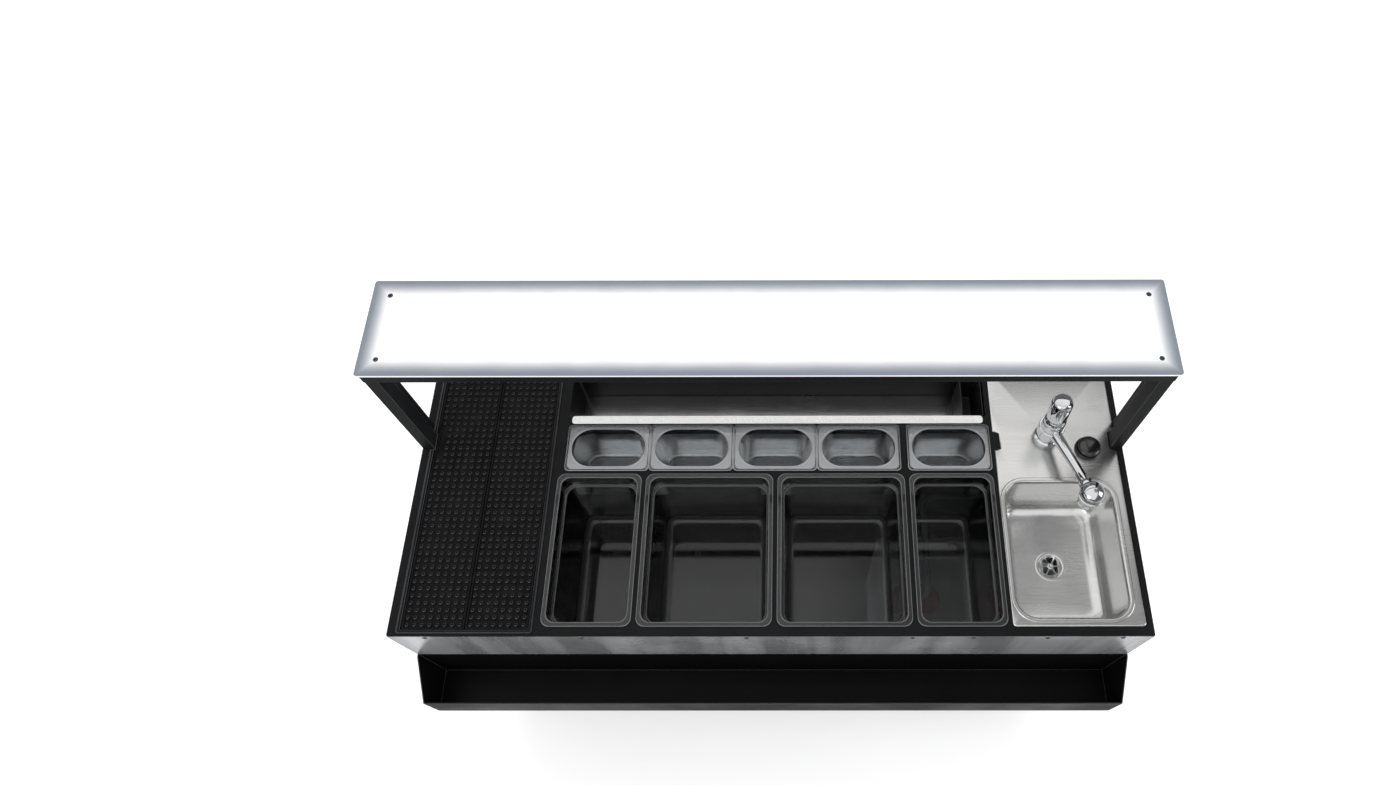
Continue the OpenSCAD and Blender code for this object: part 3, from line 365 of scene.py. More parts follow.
def soft_rubber(name, colour, roughness):
    """Rubber with a fine grain and a little dust; its marked edges get a clear coat and a painted
    highlight.
    """
    f = Finish(name, colour, roughness, Specular_IOR_Level=0.06, Coat_Roughness=0.2)
    dust = f.noise(30.0, 5.0)
    edge = f.edge()
    base = f.shade(f.ramp(dust, 0.45, 0.8), colour, tinted(colour, 1.9))
    # The marked edges of the nubs are painted four times lighter: a painted highlight.
    f.set(Base_Color=f.shade(edge, base, tinted(colour, 4.0)), Coat_Weight=edge)
    f.set(Roughness=f.ramp(dust, 0.3, 0.8, roughness - 0.16, roughness + 0.1))
    f.bump(f.noise(1300.0, 2.0), 0.0001, 0.4)
    return f.material


def moulded(name, colour, roughness, grain=0.00006, **fixed):
    """Moulded plastic with a fine texture."""
    f = Finish(name, colour, roughness, **fixed)
    cloud = f.noise(14.0, 3.0)
    f.set(Base_Color=f.shade(f.ramp(cloud, 0.3, 0.7), tinted(colour, 0.92), tinted(colour, 1.06)))
    f.set(Roughness=f.ramp(cloud, 0.3, 0.7, roughness - 0.04, roughness + 0.06))
    f.bump(f.noise(1100.0, 2.0), grain, 0.5)
    return f.material


def clear_plastic(name, colour, edge_light, roughness=0.05):
    """Clear polycarbonate with use scratches; a pale layer on its marked edges and flats is a
    painted highlight.
    """
    f = Finish(name, colour, roughness, Transmission_Weight=1.0, IOR=1.46)
    scratch = f.noise(380.0, 3.0, (1.0, 0.06, 1.0))
    cloud = f.noise(16.0, 4.0)
    worn = f.ramp(scratch, 0.55, 0.72) * f.ramp(cloud, 0.35, 0.75)
    f.set(Roughness=worn * 0.22 + roughness)
    f.set(Base_Color=f.shade(worn, colour, tinted(colour, 0.94)))
    painted_highlight = f.add("ShaderNodeBsdfPrincipled", None, (*edge_light, 1.0), 0.0, 0.38)
    clear = Wire(f, f.shader.outputs[0])
    both = f.add("ShaderNodeMixShader", None, f.edge(), clear, painted_highlight)
    f.fill(f.tree.nodes["Material Output"].inputs["Surface"], both)
    return f.material


def lit_opal(name):
    """Opal sheet lit from below: bright in the middle, with a dim margin that fades in."""
    low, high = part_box("lit_panel")
    f = Finish(name, (0.85, 0.88, 0.92), 0.28)
    middle_y = (low.y + high.y) / 2
    from_side = (high.x - low.x) / 2 - abs(f.axis("X"))
    from_edge = (high.y - low.y) / 2 - abs(f.axis("Y") - middle_y)
    margin = sizes().panel_margin
    depth = from_side.maths("MINIMUM", from_edge)
    glow = f.ramp(depth + f.noise(18.0, 2.0) * 0.004, 0.1 * margin, 1.6 * margin)
    below = f.ramp(f.axis("Z"), high.z - 1.5 * MM, high.z - 1.1 * MM, 0.62, 0.0)
    glow = glow.maths("MAXIMUM", below)
    f.set(Base_Color=f.shade(glow, colours().unlit, (0.9, 0.9, 0.9)))
    light = f.shade(glow, tinted(colours().unlit, 0.15), colours().lit)
    f.set(Emission_Color=light, Emission_Strength=0.9)
    f.bump(f.noise(700.0, 1.0), 0.00004, 0.3)
    return f.material


def laminate(name, colour):
    """Black laminate board with a fine pressed grain."""
    f = Finish(name, colour, 0.5)
    grain = f.noise(420.0, 4.0, (0.08, 1.0, 1.0))
    f.set(Base_Color=f.shade(f.ramp(grain, 0.35, 0.7), colour, tinted(colour, 1.8)))
    f.set(Roughness=f.ramp(grain, 0.3, 0.7, 0.42, 0.58))
    f.bump(grain, 0.00015, 0.5)
    return f.material


FINISHES = {}


def finishes():
    """Every finish of the unit, made once and kept by name."""
    if FINISHES:
        return FINISHES
    c = colours()
    FINISHES.update(
        powder=powder_coat("charcoal powder coat", c.powder),
        # Posts and shelf frame take the frame's powder coat made lighter: lit copies of one coat,
        # painted light.
        post=powder_coat("post powder coat", tinted(c.powder, 1.6)),
        shelf=powder_coat("shelf powder coat", tinted(c.powder, 1.9), glowing_underside="shelf_frame"),
        tray=powder_coat("tray powder coat", tinted(c.powder, 1.05), 0.36),
        # Nine times lighter on rounded edges: a painted highlight along them, with rubbed coat.
        worn=powder_coat("painted coat edge highlight", tinted(c.powder, 9.0), 0.3),
        black=powder_coat("black powder coat", c.black, 0.34),
        panel=moulded("black panel coat", (0.017, 0.0175, 0.0185), 0.4),
        sink=brushed_steel("brushed sink steel", c.steel, "x", 0.23),
        steel=brushed_steel("brushed sheet steel", c.steel, "x", 0.2),
        # The lip's steel is a third lighter than the sink's: a painted highlight.
        lip=brushed_steel("lip steel with painted highlight", tinted(c.steel, 1.35), "x", 0.26),
        zinc=brushed_steel("zinc plated steel", tinted(c.steel, 0.8), "z", 0.34),
        screw=brushed_steel("dark screw steel", (0.13, 0.13, 0.135), "x", 0.3),
        apron=polished_steel("polished apron steel", (0.80, 0.82, 0.84)),
        chrome=chrome_plate("tap chrome", c.chrome),
        drain=chrome_plate("drain chrome", tinted(c.chrome, 0.92)),
        rubber=soft_rubber("mat rubber", c.rubber, 0.44),
        tread=soft_rubber("wheel tread", (0.045, 0.046, 0.048), 0.6),
        well=clear_plastic("smoky clear plastic", c.smoky, tinted(c.edge_light, 0.35)),
        pan=clear_plastic("clear pan plastic", c.clear, c.edge_light),
        bin=moulded("black bin plastic", (0.010, 0.010, 0.011), 0.42),
        button=moulded("button plastic", (0.007, 0.007, 0.008), 0.16, FINE_GRAIN, Coat_Weight=0.6),
        bezel=moulded("bezel plastic", (0.013, 0.013, 0.014), 0.35),
        lit=lit_opal("opal lit sheet"),
        strip=moulded("light strip", (0.9, 0.87, 0.75), 0.4),
        deck=laminate("deck laminate", (0.012, 0.012, 0.013)),
        tank=moulded("tank plastic", c.tank, 0.36, 0.00008, Subsurface_Weight=0.15),
        cap=moulded("cap plastic", c.red, 0.32),
        pump=moulded("pump plastic", (0.03, 0.11, 0.24), 0.35),
        pipe=moulded("pipe plastic", (0.68, 0.68, 0.66), 0.33),
        hose=moulded(
            "hose plastic", (0.50, 0.60, 0.66), 0.16, FINE_GRAIN, Transmission_Weight=0.45
        ),
        power=moulded("power box plastic", (0.032, 0.034, 0.037), 0.4),
        switch=moulded("switch plastic", c.red, 0.2, FINE_GRAIN),
        hub=moulded("wheel hub plastic", (0.30, 0.31, 0.32), 0.45),
        pedal=moulded("pedal plastic", c.red, 0.38),
    )
    return FINISHES


# Meshes


def ring(low, high, radius, z, inset, steps):
    """Points around a rounded rectangle, counter-clockwise from its back right corner."""
    x0, y0, x1, y1 = low[0] + inset, low[1] + inset, high[0] - inset, high[1] - inset
    radius = max(min(radius, (x1 - x0) / 2 - HAIR, (y1 - y0) / 2 - HAIR), HAIR)
    centres = ((x1 - radius, y1 - radius), (x0 + radius, y1 - radius),
               (x0 + radius, y0 + radius), (x1 - radius, y0 + radius))
    points = []
    for quarter, (cx, cy) in enumerate(centres):
        for step in range(steps + 1):
            turn = math.pi / 2 * (quarter + step / steps)
            points.append((cx + radius * math.cos(turn), cy + radius * math.sin(turn), z))
    return points


def circle(centre, radius, z, steps):
    turns = (2 * math.pi * step / steps for step in range(steps))
    return [(centre[0] + radius * math.cos(t), centre[1] + radius * math.sin(t), z) for t in turns]


def rounded_profile(keys, steps=4):
    """Rounds a profile's corners. A key is (inset, height, corner radius, rounding), all in mm."""
    points = []
    for place, (inset, height, corner, rounding) in enumerate(keys):
        if place in (0, len(keys) - 1) or not rounding:
            points.append((inset * MM, height * MM, corner * MM))
            continue
        here = Vector((inset, height, corner))
        before = Vector(keys[place - 1][:3]) - here
        after = Vector(keys[place + 1][:3]) - here
        start = here + before * min(rounding / before.xy.length, 0.5)
        end = here + after * min(rounding / after.xy.length, 0.5)
        for step in range(steps + 1):
            t = step / steps
            point = start * (1 - t) ** 2 + here * (2 * t * (1 - t)) + end * t**2
            points.append(tuple(point * MM))
    return points


def glinting_profile(keys):
    """A rounded profile; a key may add the painted highlight of its edge and of the flat after it.
    """
    keys = [(*key, 0.0, 0.0)[:6] for key in keys]
    points = [(*(value * MM for value in keys[0][:3]), 0.0)]
    for place in range(1, len(keys) - 1):
        before, here, after = keys[place - 1:place + 2]
        arc = rounded_profile([before[:4], here[:4], after[:4]])[1:-1]
        around = []
        for end, far, share in ((arc[0], before, before[5]), (arc[-1], after, here[5])):
            way = Vector(far[:3]) - Vector(here[:3])
            around.append((*(Vector(end) + way * (GLINT / way.xy.length)), share))
        lit = [(*point, here[4]) for point in arc]
        points += [around[0], *lit, around[1]] if here[4] else lit
    points.append((*(value * MM for value in keys[-1][:3]), 0.0))
    return points


def loft(bm, rings, capped=True, closed=False):
    """Joins rings of points that have as many points each."""
    made = [[bm.verts.new(point) for point in points] for points in rings]
    pairs = list(zip(made, made[1:])) + ([(made[-1], made[0])] if closed else [])
    for one, two in pairs:
        for i in range(len(one)):
            j = (i + 1) % len(one)
            bm.faces.new((one[i], one[j], two[j], two[i]))
    if capped and not closed:
        bm.faces.new(reversed(made[0]))
        bm.faces.new(made[-1])
    return made


def turned(bm, profile, centre, steps, closed=False, tilt=None):
    """A turned shape from (radius, height) points in millimetres, about an upright axis."""
    rings = [circle((0.0, 0.0), radius * MM, height * MM, steps) for radius, height in profile]
    place = Matrix.Translation(centre) @ (tilt or Matrix.Identity(4))
    loft(bm, [[place @ Vector(p) for p in points] for points in rings], closed=closed)


def swept(bm, path, radii, steps):
    """A round bar along a path, with a radius for each of its points."""
    rings = []
    side = None
    for place, point in enumerate(path):
        ahead = (path[min(place + 1, len(path) - 1)] - path[max(place - 1, 0)]).normalized()
        side = (side or ahead.orthogonal()) - ahead * (side or ahead.orthogonal()).dot(ahead)
        side.normalize()
        other = ahead.cross(side)
        turns = (2 * math.pi * step / steps for step in range(steps))
        rings.append(
            [point + (side * math.cos(t) + other * math.sin(t)) * radii[place] for t in turns]
        )
    loft(bm, rings)


def placed(name, data):
    """A new object in the scene."""
    made = bpy.data.objects.new(name, data)
    bpy.context.scene.collection.objects.link(made)
    return made


def add_piece(name, mesh, finish, node, stands_in=True):
    """Puts a finished mesh on a node's body, in the node's place or beside it.

    A pair of finishes gives the second one, a painted edge highlight, to the mesh's rounded edges.
    """
    labels = finish if isinstance(finish, tuple) else (finish,)
    if len(mesh.materials) != len(labels):
        mesh.materials.clear()
        for _ in labels:
            mesh.materials.append(None)
    for place, label in enumerate(labels):
        mesh.materials[place] = finishes()[label]
    piece = placed(name, mesh)
    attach(piece, frame["nodes"][node]["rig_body"])
    if stands_in:
        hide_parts(node)


def mesh_from(name, bm, sharp, keep_direction=False):
    """Merges doubles, turns the faces outwards and gives a smooth mesh with sharp edges kept."""
    bmesh.ops.remove_doubles(bm, verts=bm.verts, dist=MERGE)
    if not keep_direction:
        bmesh.ops.recalc_face_normals(bm, faces=bm.faces)
    mesh = bpy.data.meshes.new(name)
    bm.to_mesh(mesh)
    bm.free()
    mesh.shade_smooth()
    mesh.set_sharp_from_angle(angle=math.radians(sharp))
    return mesh


def baked(name, mesh, modifiers):
    """The mesh with its modifiers worked into it."""
    helper = placed(f"{name}_helper", mesh)
    for kind, settings in modifiers:
        modifier = helper.modifiers.new(kind.lower(), kind)
        for key, value in settings.items():
            if key.startswith("Socket_"):
                modifier[key] = value
            else:
                setattr(modifier, key, value)
    graph = bpy.context.evaluated_depsgraph_get()
    done = bpy.data.meshes.new_from_object(
        helper.evaluated_get(graph), preserve_all_data_layers=True, depsgraph=graph
    )
    bpy.data.objects.remove(helper)
    done.name = name
    return done


def clean_copy(node):
    """A copy of a node's mesh with its points merged and its flat faces whole."""
    bm = bmesh.new()
    bm.from_mesh(frame["nodes"][node].data)
    bmesh.ops.remove_doubles(bm, verts=bm.verts, dist=CAD_MERGE)
    bmesh.ops.dissolve_limit(bm, angle_limit=FLAT_ANGLE, verts=bm.verts[:], edges=bm.edges[:])
    return mesh_from(f"{node}_dressed", bm, CAD_SHARP, keep_direction=True)


def rounded_copy(node, finish, width=None, segments=2):
    """A copy of a node with its edges rounded, which stands for the node."""
    mesh = clean_copy(node)
    bevel = {
        "width": width or sizes().edge,
        "segments": segments,
        "limit_method": "ANGLE",
        "angle_limit": BEVEL_ANGLE,
        "use_clamp_overlap": True,
    }
    if isinstance(finish, tuple):
        bevel["material"] = 1
        mesh.materials.append(None)
        mesh.materials.append(None)
    mesh = baked(mesh.name, mesh, [("BEVEL", bevel), ("WEIGHTED_NORMAL", {"keep_sharp": True})])
    add_piece(mesh.name, mesh, finish, node)


def turned_piece(name, profile, centre, finish, node, closed=False, sharp=TURNED_SHARP):
    """A turned shape about an upright axis, which stands for a node."""
    bm = bmesh.new()
    turned(bm, profile, centre, ROUND_STEPS, closed)
    add_piece(name, mesh_from(name, bm, sharp), finish, node)


def middle_of(node):
    low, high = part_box(node)
    return (low + high) / 2


def on_worktop(node):
    """The middle of a node's outline, at the height of the worktop."""
    low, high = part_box(node)
    return Vector(((low.x + high.x) / 2, (low.y + high.y) / 2, WORKTOP_Z))


def repaint(node, finish):
    """Gives a node that stays as it is a better material."""
    slots = frame["nodes"][node].data.materials
    slots.clear()
    slots.append(finishes()[finish])


# Geometry trees


def new_tree(name, **inputs):
    """A geometry tree with a mesh input, named inputs, a material input and a mesh output."""
    tree = bpy.data.node_groups.new(name, "GeometryNodeTree")
    for label, kind in {"Geometry": "Geometry", **inputs, "Material": "Material"}.items():
        label = label.replace("_", " ")
        tree.interface.new_socket(label, in_out="INPUT", socket_type=f"NodeSocket{kind}")
    tree.interface.new_socket("Geometry", in_out="OUTPUT", socket_type="NodeSocketGeometry")
    nodes = Nodes(tree)
    start = nodes.add("NodeGroupInput")
    given = {
        socket.name: Wire(nodes, socket) for socket in start.socket.node.outputs if socket.name
    }
    return nodes, given


def end_tree(nodes, shape, material):
    """Realizes the shape, sets its material and closes the tree."""
    real = nodes.add("GeometryNodeRealizeInstances", None, shape)
    painted = nodes.add("GeometryNodeSetMaterial", None, real, Material=material)
    flat = nodes.add("GeometryNodeSetShadeSmooth", None, painted, Shade_Smooth=False)
    nodes.add("NodeGroupOutput", None, flat)
    return nodes.tree


def grown(name, tree, start, finish, node, values, stands_in=True):
    """Runs a tree on a mesh and puts the plain result into the scene."""
    values = {"Material": finishes()[finish], **values}
    settings = {"node_group": tree}
    for item in tree.interface.items_tree:
        if item.in_out == "INPUT" and item.name in values:
            settings[item.identifier] = values[item.name]
    mesh = baked(name, start, [("NODES", settings)])
    mesh.shade_smooth()
    mesh.set_sharp_from_angle(angle=math.radians(GROWN_SHARP))
    add_piece(name, mesh, finish, node, stands_in)


def points_mesh(name, points, edges=()):
    mesh = bpy.data.meshes.new(name)
    mesh.from_pydata([tuple(point) for point in points], list(edges), [])
    return mesh


def screws(name, places, sizes_mm, finish, node, turn=(0.0, 0.0, 0.0), stands_in=True):
    """Screws of one size on places that face one way."""
    values = {label: size * MM for label, size in zip(SCREW_SIZES, sizes_mm)}
    start = points_mesh(f"{name}_places", places)
    grown(name, head_tree(), start, finish, node, {**values, "Turn": turn}, stands_in)


def stud(nodes, radius, height, sides):
    """A round stud with a bevelled, dimpled top, standing on the origin; its sides are marked with
    their share of painted highlight.
    """
    shape = nodes.add(
        "GeometryNodeMeshCone", None, sides, Radius_Top=radius * 0.86, Radius_Bottom=radius,
        Depth=height * 0.82, out="Mesh",
    )
    top = shape.also("Top")

    def marked(mesh, light):
        """The mesh with its newest sides marked as an edge."""
        face = {"data_type": "FLOAT", "domain": "FACE"}
        sides = mesh.also("Side")
        return nodes.add(
            "GeometryNodeStoreNamedAttribute", face, mesh, sides, Name="edge", Value=light
        )

    shape = marked(shape, 0.5)
    for rise, share, light in ((0.18, 0.72, 1.0), (0.0, 0.74, 0.0), (-0.2, 0.9, 0.7)):
        step = height * rise
        raised = nodes.add(
            "GeometryNodeExtrudeMesh", None, shape, top, Offset_Scale=step, out="Mesh"
        )
        top = raised.also("Top")
        shape = nodes.add("GeometryNodeScaleElements", None, marked(raised, light), top, share)
    return shape


def nub_tree():
    """Rows of nubs on a mat, left out where the mat has its notch."""
    nodes, given = new_tree(
        "mat nubs", Middle="Vector", Width="Float", Length="Float", Across="Int", Along="Int",
        Radius="Float", Height="Float", Notch_Low="Vector", Notch_High="Vector",
    )
    grid = nodes.add(
        "GeometryNodeMeshGrid", None, given["Width"], given["Length"], given["Across"],
        given["Along"],
    )
    rows = nodes.add("GeometryNodeSetPosition", None, grid, Offset=given["Middle"])
    place = nodes.add("GeometryNodeInputPosition")
    inside = None
    for letter in "XY":
        value = nodes.add("ShaderNodeSeparateXYZ", None, place, out=letter)
        low = nodes.add("ShaderNodeSeparateXYZ", None, given["Notch Low"], out=letter)
        high = nodes.add("ShaderNodeSeparateXYZ", None, given["Notch High"], out=letter)
        between = value.maths("GREATER_THAN", low) * value.maths("LESS_THAN", high)
        inside = between if inside is None else inside * between
    kept = nodes.add("GeometryNodeDeleteGeometry", {"domain": "POINT"}, rows, inside)
    nub = stud(nodes, given["Radius"], given["Height"], 10)
    copies = nodes.add("GeometryNodeInstanceOnPoints", None, kept, Instance=nub)
    both = nodes.add("GeometryNodeJoinGeometry", None, [copies, given["Geometry"]])
    return end_tree(nodes, both, given["Material"])


def on_points(nodes, given, shape):
    """The shape on each point of the tree's mesh, turned as given."""
    points, turn = given["Geometry"], given["Turn"]
    return nodes.add("GeometryNodeInstanceOnPoints", None, points, Instance=shape, Rotation=turn)


def head_tree():
    """A screw with a head, a hexagonal recess and a shank, on each point of a mesh."""
    nodes, given = new_tree(
        "screws on points", Foot="Float", Top="Float", Height="Float", Recess="Float",
        Shank="Float", Shank_Length="Float", Turn="Rotation",
    )
    head = nodes.add(
        "GeometryNodeMeshCone", None, 28, Radius_Top=given["Top"],
        Radius_Bottom=given["Foot"], Depth=given["Height"],
    )
    deep = given["Height"] * 1.2
    socket = nodes.add("GeometryNodeMeshCylinder", None, 6, Radius=given["Recess"], Depth=deep)
    lifted = nodes.add("ShaderNodeCombineXYZ", None, 0.0, 0.0, given["Height"])
    socket = nodes.add("GeometryNodeTransform", None, socket, Translation=lifted)
    cut = nodes.add("GeometryNodeMeshBoolean", {"operation": "DIFFERENCE"}, head, socket)
    length = given["Shank Length"]
    shank = nodes.add("GeometryNodeMeshCylinder", None, 16, Radius=given["Shank"], Depth=length)
    sunk = nodes.add("ShaderNodeCombineXYZ", None, 0.0, 0.0, length * -0.5 - HAIR)
    shank = nodes.add("GeometryNodeTransform", None, shank, Translation=sunk)
    both = nodes.add("GeometryNodeJoinGeometry", None, [cut, shank])
    return end_tree(nodes, on_points(nodes, given, both), given["Material"])


def rivet_tree():
    """A low domed rivet on each point of a mesh."""
    nodes, given = new_tree("rivets on points", Radius="Float", Height="Float", Turn="Rotation")
    rivet = stud(nodes, given["Radius"], given["Height"], 16)
    return end_tree(nodes, on_points(nodes, given, rivet), given["Material"])


def rib_tree():
    """Upright ribs around a round cap."""
    nodes, given = new_tree("ribs around a cap", Count="Int", Radius="Float", Height="Float")
    around = nodes.add("GeometryNodeMeshCircle", None, given["Count"], given["Radius"])
    index = nodes.add("GeometryNodeInputIndex")
    turn = nodes.add("ShaderNodeCombineXYZ", None, 0.0, 0.0, index * (2 * math.pi) / given["Count"])
    rib = nodes.add("GeometryNodeMeshCylinder", None, 8, Radius=RIB_R, Depth=given["Height"])
    copies = nodes.add("GeometryNodeInstanceOnPoints", None, around, Instance=rib, Rotation=turn)
    each = nodes.add("GeometryNodeInstanceOnPoints", None, given["Geometry"], Instance=copies)
    return end_tree(nodes, each, given["Material"])


def hose_tree():
    """A round hose along a line of straight runs, with its corners rounded."""
    nodes, given = new_tree("hose along a route", Radius="Float", Bend="Float")
    line = nodes.add("GeometryNodeMeshToCurve", None, given["Geometry"])
    bent = nodes.add(
        "GeometryNodeFilletCurve", {"mode": "POLY"}, line, Count=12, Radius=given["Bend"]
    )
    around = nodes.add("GeometryNodeCurvePrimitiveCircle", None, 20, Radius=given["Radius"])
    tube = nodes.add("GeometryNodeCurveToMesh", None, bent, around, Fill_Caps=True)
    return end_tree(nodes, tube, given["Material"])


# Pieces


class BAR_OT_worktop(bpy.types.Operator):
    """Worktop sheet with its cut-outs, and the drip tray with its bead"""

    bl_idname = "bar_unit.worktop"
    bl_label = "Worktop and drip tray"

    def execute(self, context):
        # The second finish paints a highlight along the rounded edges.
        rounded_copy("worktop_frame", ("powder", "worn"))
        rounded_copy("drip_tray", ("tray", "worn"), 0.6 * MM)
        return {"FINISHED"}


class BAR_OT_mats(bpy.types.Operator):
    """Rubber mats with rows of nubs inside their borders"""

    bl_idname = "bar_unit.mats"
    bl_label = "Rubber mats"

    border = 4.5 * MM
    lip = 4 * MM
    edge = 0.8 * MM
    end_gap = 0.35
    notch_before = 16 * MM
    notch_length = 49 * MM
    notch_beside = 12 * MM

    def execute(self, context):
        tree = nub_tree()
        size = sizes()
        post_low, post_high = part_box("post_left")
        bevel = {"width": self.edge, "segments": 2, "limit_method": "ANGLE"}
        for node in ("mat_left", "mat_right"):
            low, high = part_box(node)
            mesh = baked(node, clean_copy(node), [("BEVEL", bevel)])
            inner_w = high.x - low.x - 2 * self.border
            inner_d = high.y - low.y - 2 * self.border
            across = round(inner_w / size.nub_across)
            along = round(inner_d / size.nub_along)
            middle = Vector(((low.x + high.x) / 2, (low.y + high.y) / 2, high.z - self.lip))
            beside = post_high.x + self.notch_beside
            values = {
                "Middle": middle,
                "Width": (across - 1) * inner_w / (across - self.end_gap),
                "Length": (along - 1) * inner_d / (along - self.end_gap),
                "Across": across,
                "Along": along,
                "Radius": size.nub_radius,
                "Height": size.nub_height,
                "Notch Low": Vector((-1.0, post_low.y - self.notch_before, 0.0)),
                "Notch High": Vector((beside, post_low.y + self.notch_length, 0.0)),
            }
            grown(f"{node}_nubs", tree, mesh, "rubber", node, values)
        return {"FINISHED"}


def tub_piece(node, keys, finish, steps, fade=0.0):
    """A closed shell whose profile runs from the inner floor over the rim to the outer floor."""
    low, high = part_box(node)
    bm = bmesh.new()
    edge = bm.verts.layers.float.new("edge")
    profile = glinting_profile(keys)
    rings = [
        ring(low, high, corner, WORKTOP_Z + z, inset, steps) for inset, z, corner, _ in profile
    ]
    # The painted highlight fades from the rail side towards the guest side by the share fade.
    for verts, point in zip(loft(bm, rings), profile):
        for vert in verts:
            vert[edge] = point[3] * (1 - fade * (vert.co.y - low.y) / (high.y - low.y))
    add_piece(f"{node}_shell", mesh_from(f"{node}_shell", bm, TUB_SHARP), finish, node)


class BAR_OT_wells(bpy.types.Operator):
    """Clear wells: a flat rim, a stacking shoulder and a tub drawn in to a rounded floor"""

    bl_idname = "bar_unit.wells"
    bl_label = "Wells"

    def execute(self, context):
        corner = sizes().well_corner / MM
        # A key's fifth value is the painted highlight on its rounded edge, the sixth that on the
        # flat after it.
        keys = [
            (44, -197.5, 14, 0), (22.5, -197.5, corner - 3, 15, 0.25),
            (14.5, -31, corner, 1.4, 0.55), (10, -28.5, corner - 3, 2.0, 0.2),
            (9.2, 3.0, 19, 1.4, 0.8, 0.16), (0.0, 3.0, 17, 1.1, 1.0), (0.0, 0.0, 17, 0.5),
            (7.2, 0.0, 19, 1.2), (7.4, -31, corner - 1, 2.0), (12, -33.5, corner + 1, 2.0),
            (20, -200, corner - 2, 15), (44, -200, 14, 0),
        ]
        for node in WELLS:
            tub_piece(node, keys, "well", 10)
        return {"FINISHED"}


class BAR_OT_garnish(bpy.types.Operator):
    """Clear garnish pans: a square rim, a flat deck and an oval tub, over a steel tray"""

    bl_idname = "bar_unit.garnish"
    bl_label = "Garnish pans"

    def execute(self, context):
        # A key's fifth value is the painted highlight on its rounded edge, the sixth that on the
        # flat after it; the deck's is a painted reflection of the steel tray below.
        keys = [
            (34, -97.5, 18, 0), (19.5, -97.5, 30, 12, 0.2), (10.5, 1.9, 42, 0.9, 0.9, 0.72),
            (3.4, 1.9, 9, 0.5, 0.3), (2.4, 3.0, 8.5, 0.4), (0.0, 3.0, 9, 0.8, 1.0),
            (0.0, 0.0, 9, 0.5), (8.0, 0.0, 42, 1.5), (17, -100, 31, 12), (34, -100, 18, 0),
        ]
        for node in GARNISH_PANS:
            tub_piece(node, keys, "pan", 12, 0.62)
        rounded_copy("garnish_tray", "steel", 0.5 * MM)
        return {"FINISHED"}


class BAR_OT_trough(bpy.types.Operator):
    """Bottle trough with its steel floor, a lip lightened as a painted highlight, and waste bin"""

    bl_idname = "bar_unit.trough"
    bl_label = "Trough and bin"

    def execute(self, context):
        rounded_copy("trough_walls", "black", 0.4 * MM)
        rounded_copy("trough_floor", "steel", 0.4 * MM)
        rounded_copy("trough_lip", "lip", 1.1 * MM, 3)
        low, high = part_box("waste_bin")
        top = (high.z - WORKTOP_Z) / MM
        floor = (low.z - WORKTOP_Z) / MM
        keys = [
            (14, floor + 2, 3, 0), (3.2, floor + 2, 4, 3), (2.2, top - 3, 5, 0.6),
            (2.0, top, 5, 0.8), (0.0, top, 6, 0.8), (0.0, top - 5, 6, 0.6),
            (0.8, top - 6, 5.5, 0.5), (1.4, floor, 5, 2.5), (14, floor, 3, 0),
        ]
        rings = [
            ring(low, high, r, WORKTOP_Z + z, inset, 6) for inset, z, r in rounded_profile(keys)
        ]
        bm = bmesh.new()
        loft(bm, rings)
        mesh = mesh_from("waste_bin_shell", bm, SMALL_SHARP)
        add_piece(mesh.name, mesh, "bin", "waste_bin")
        return {"FINISHED"}


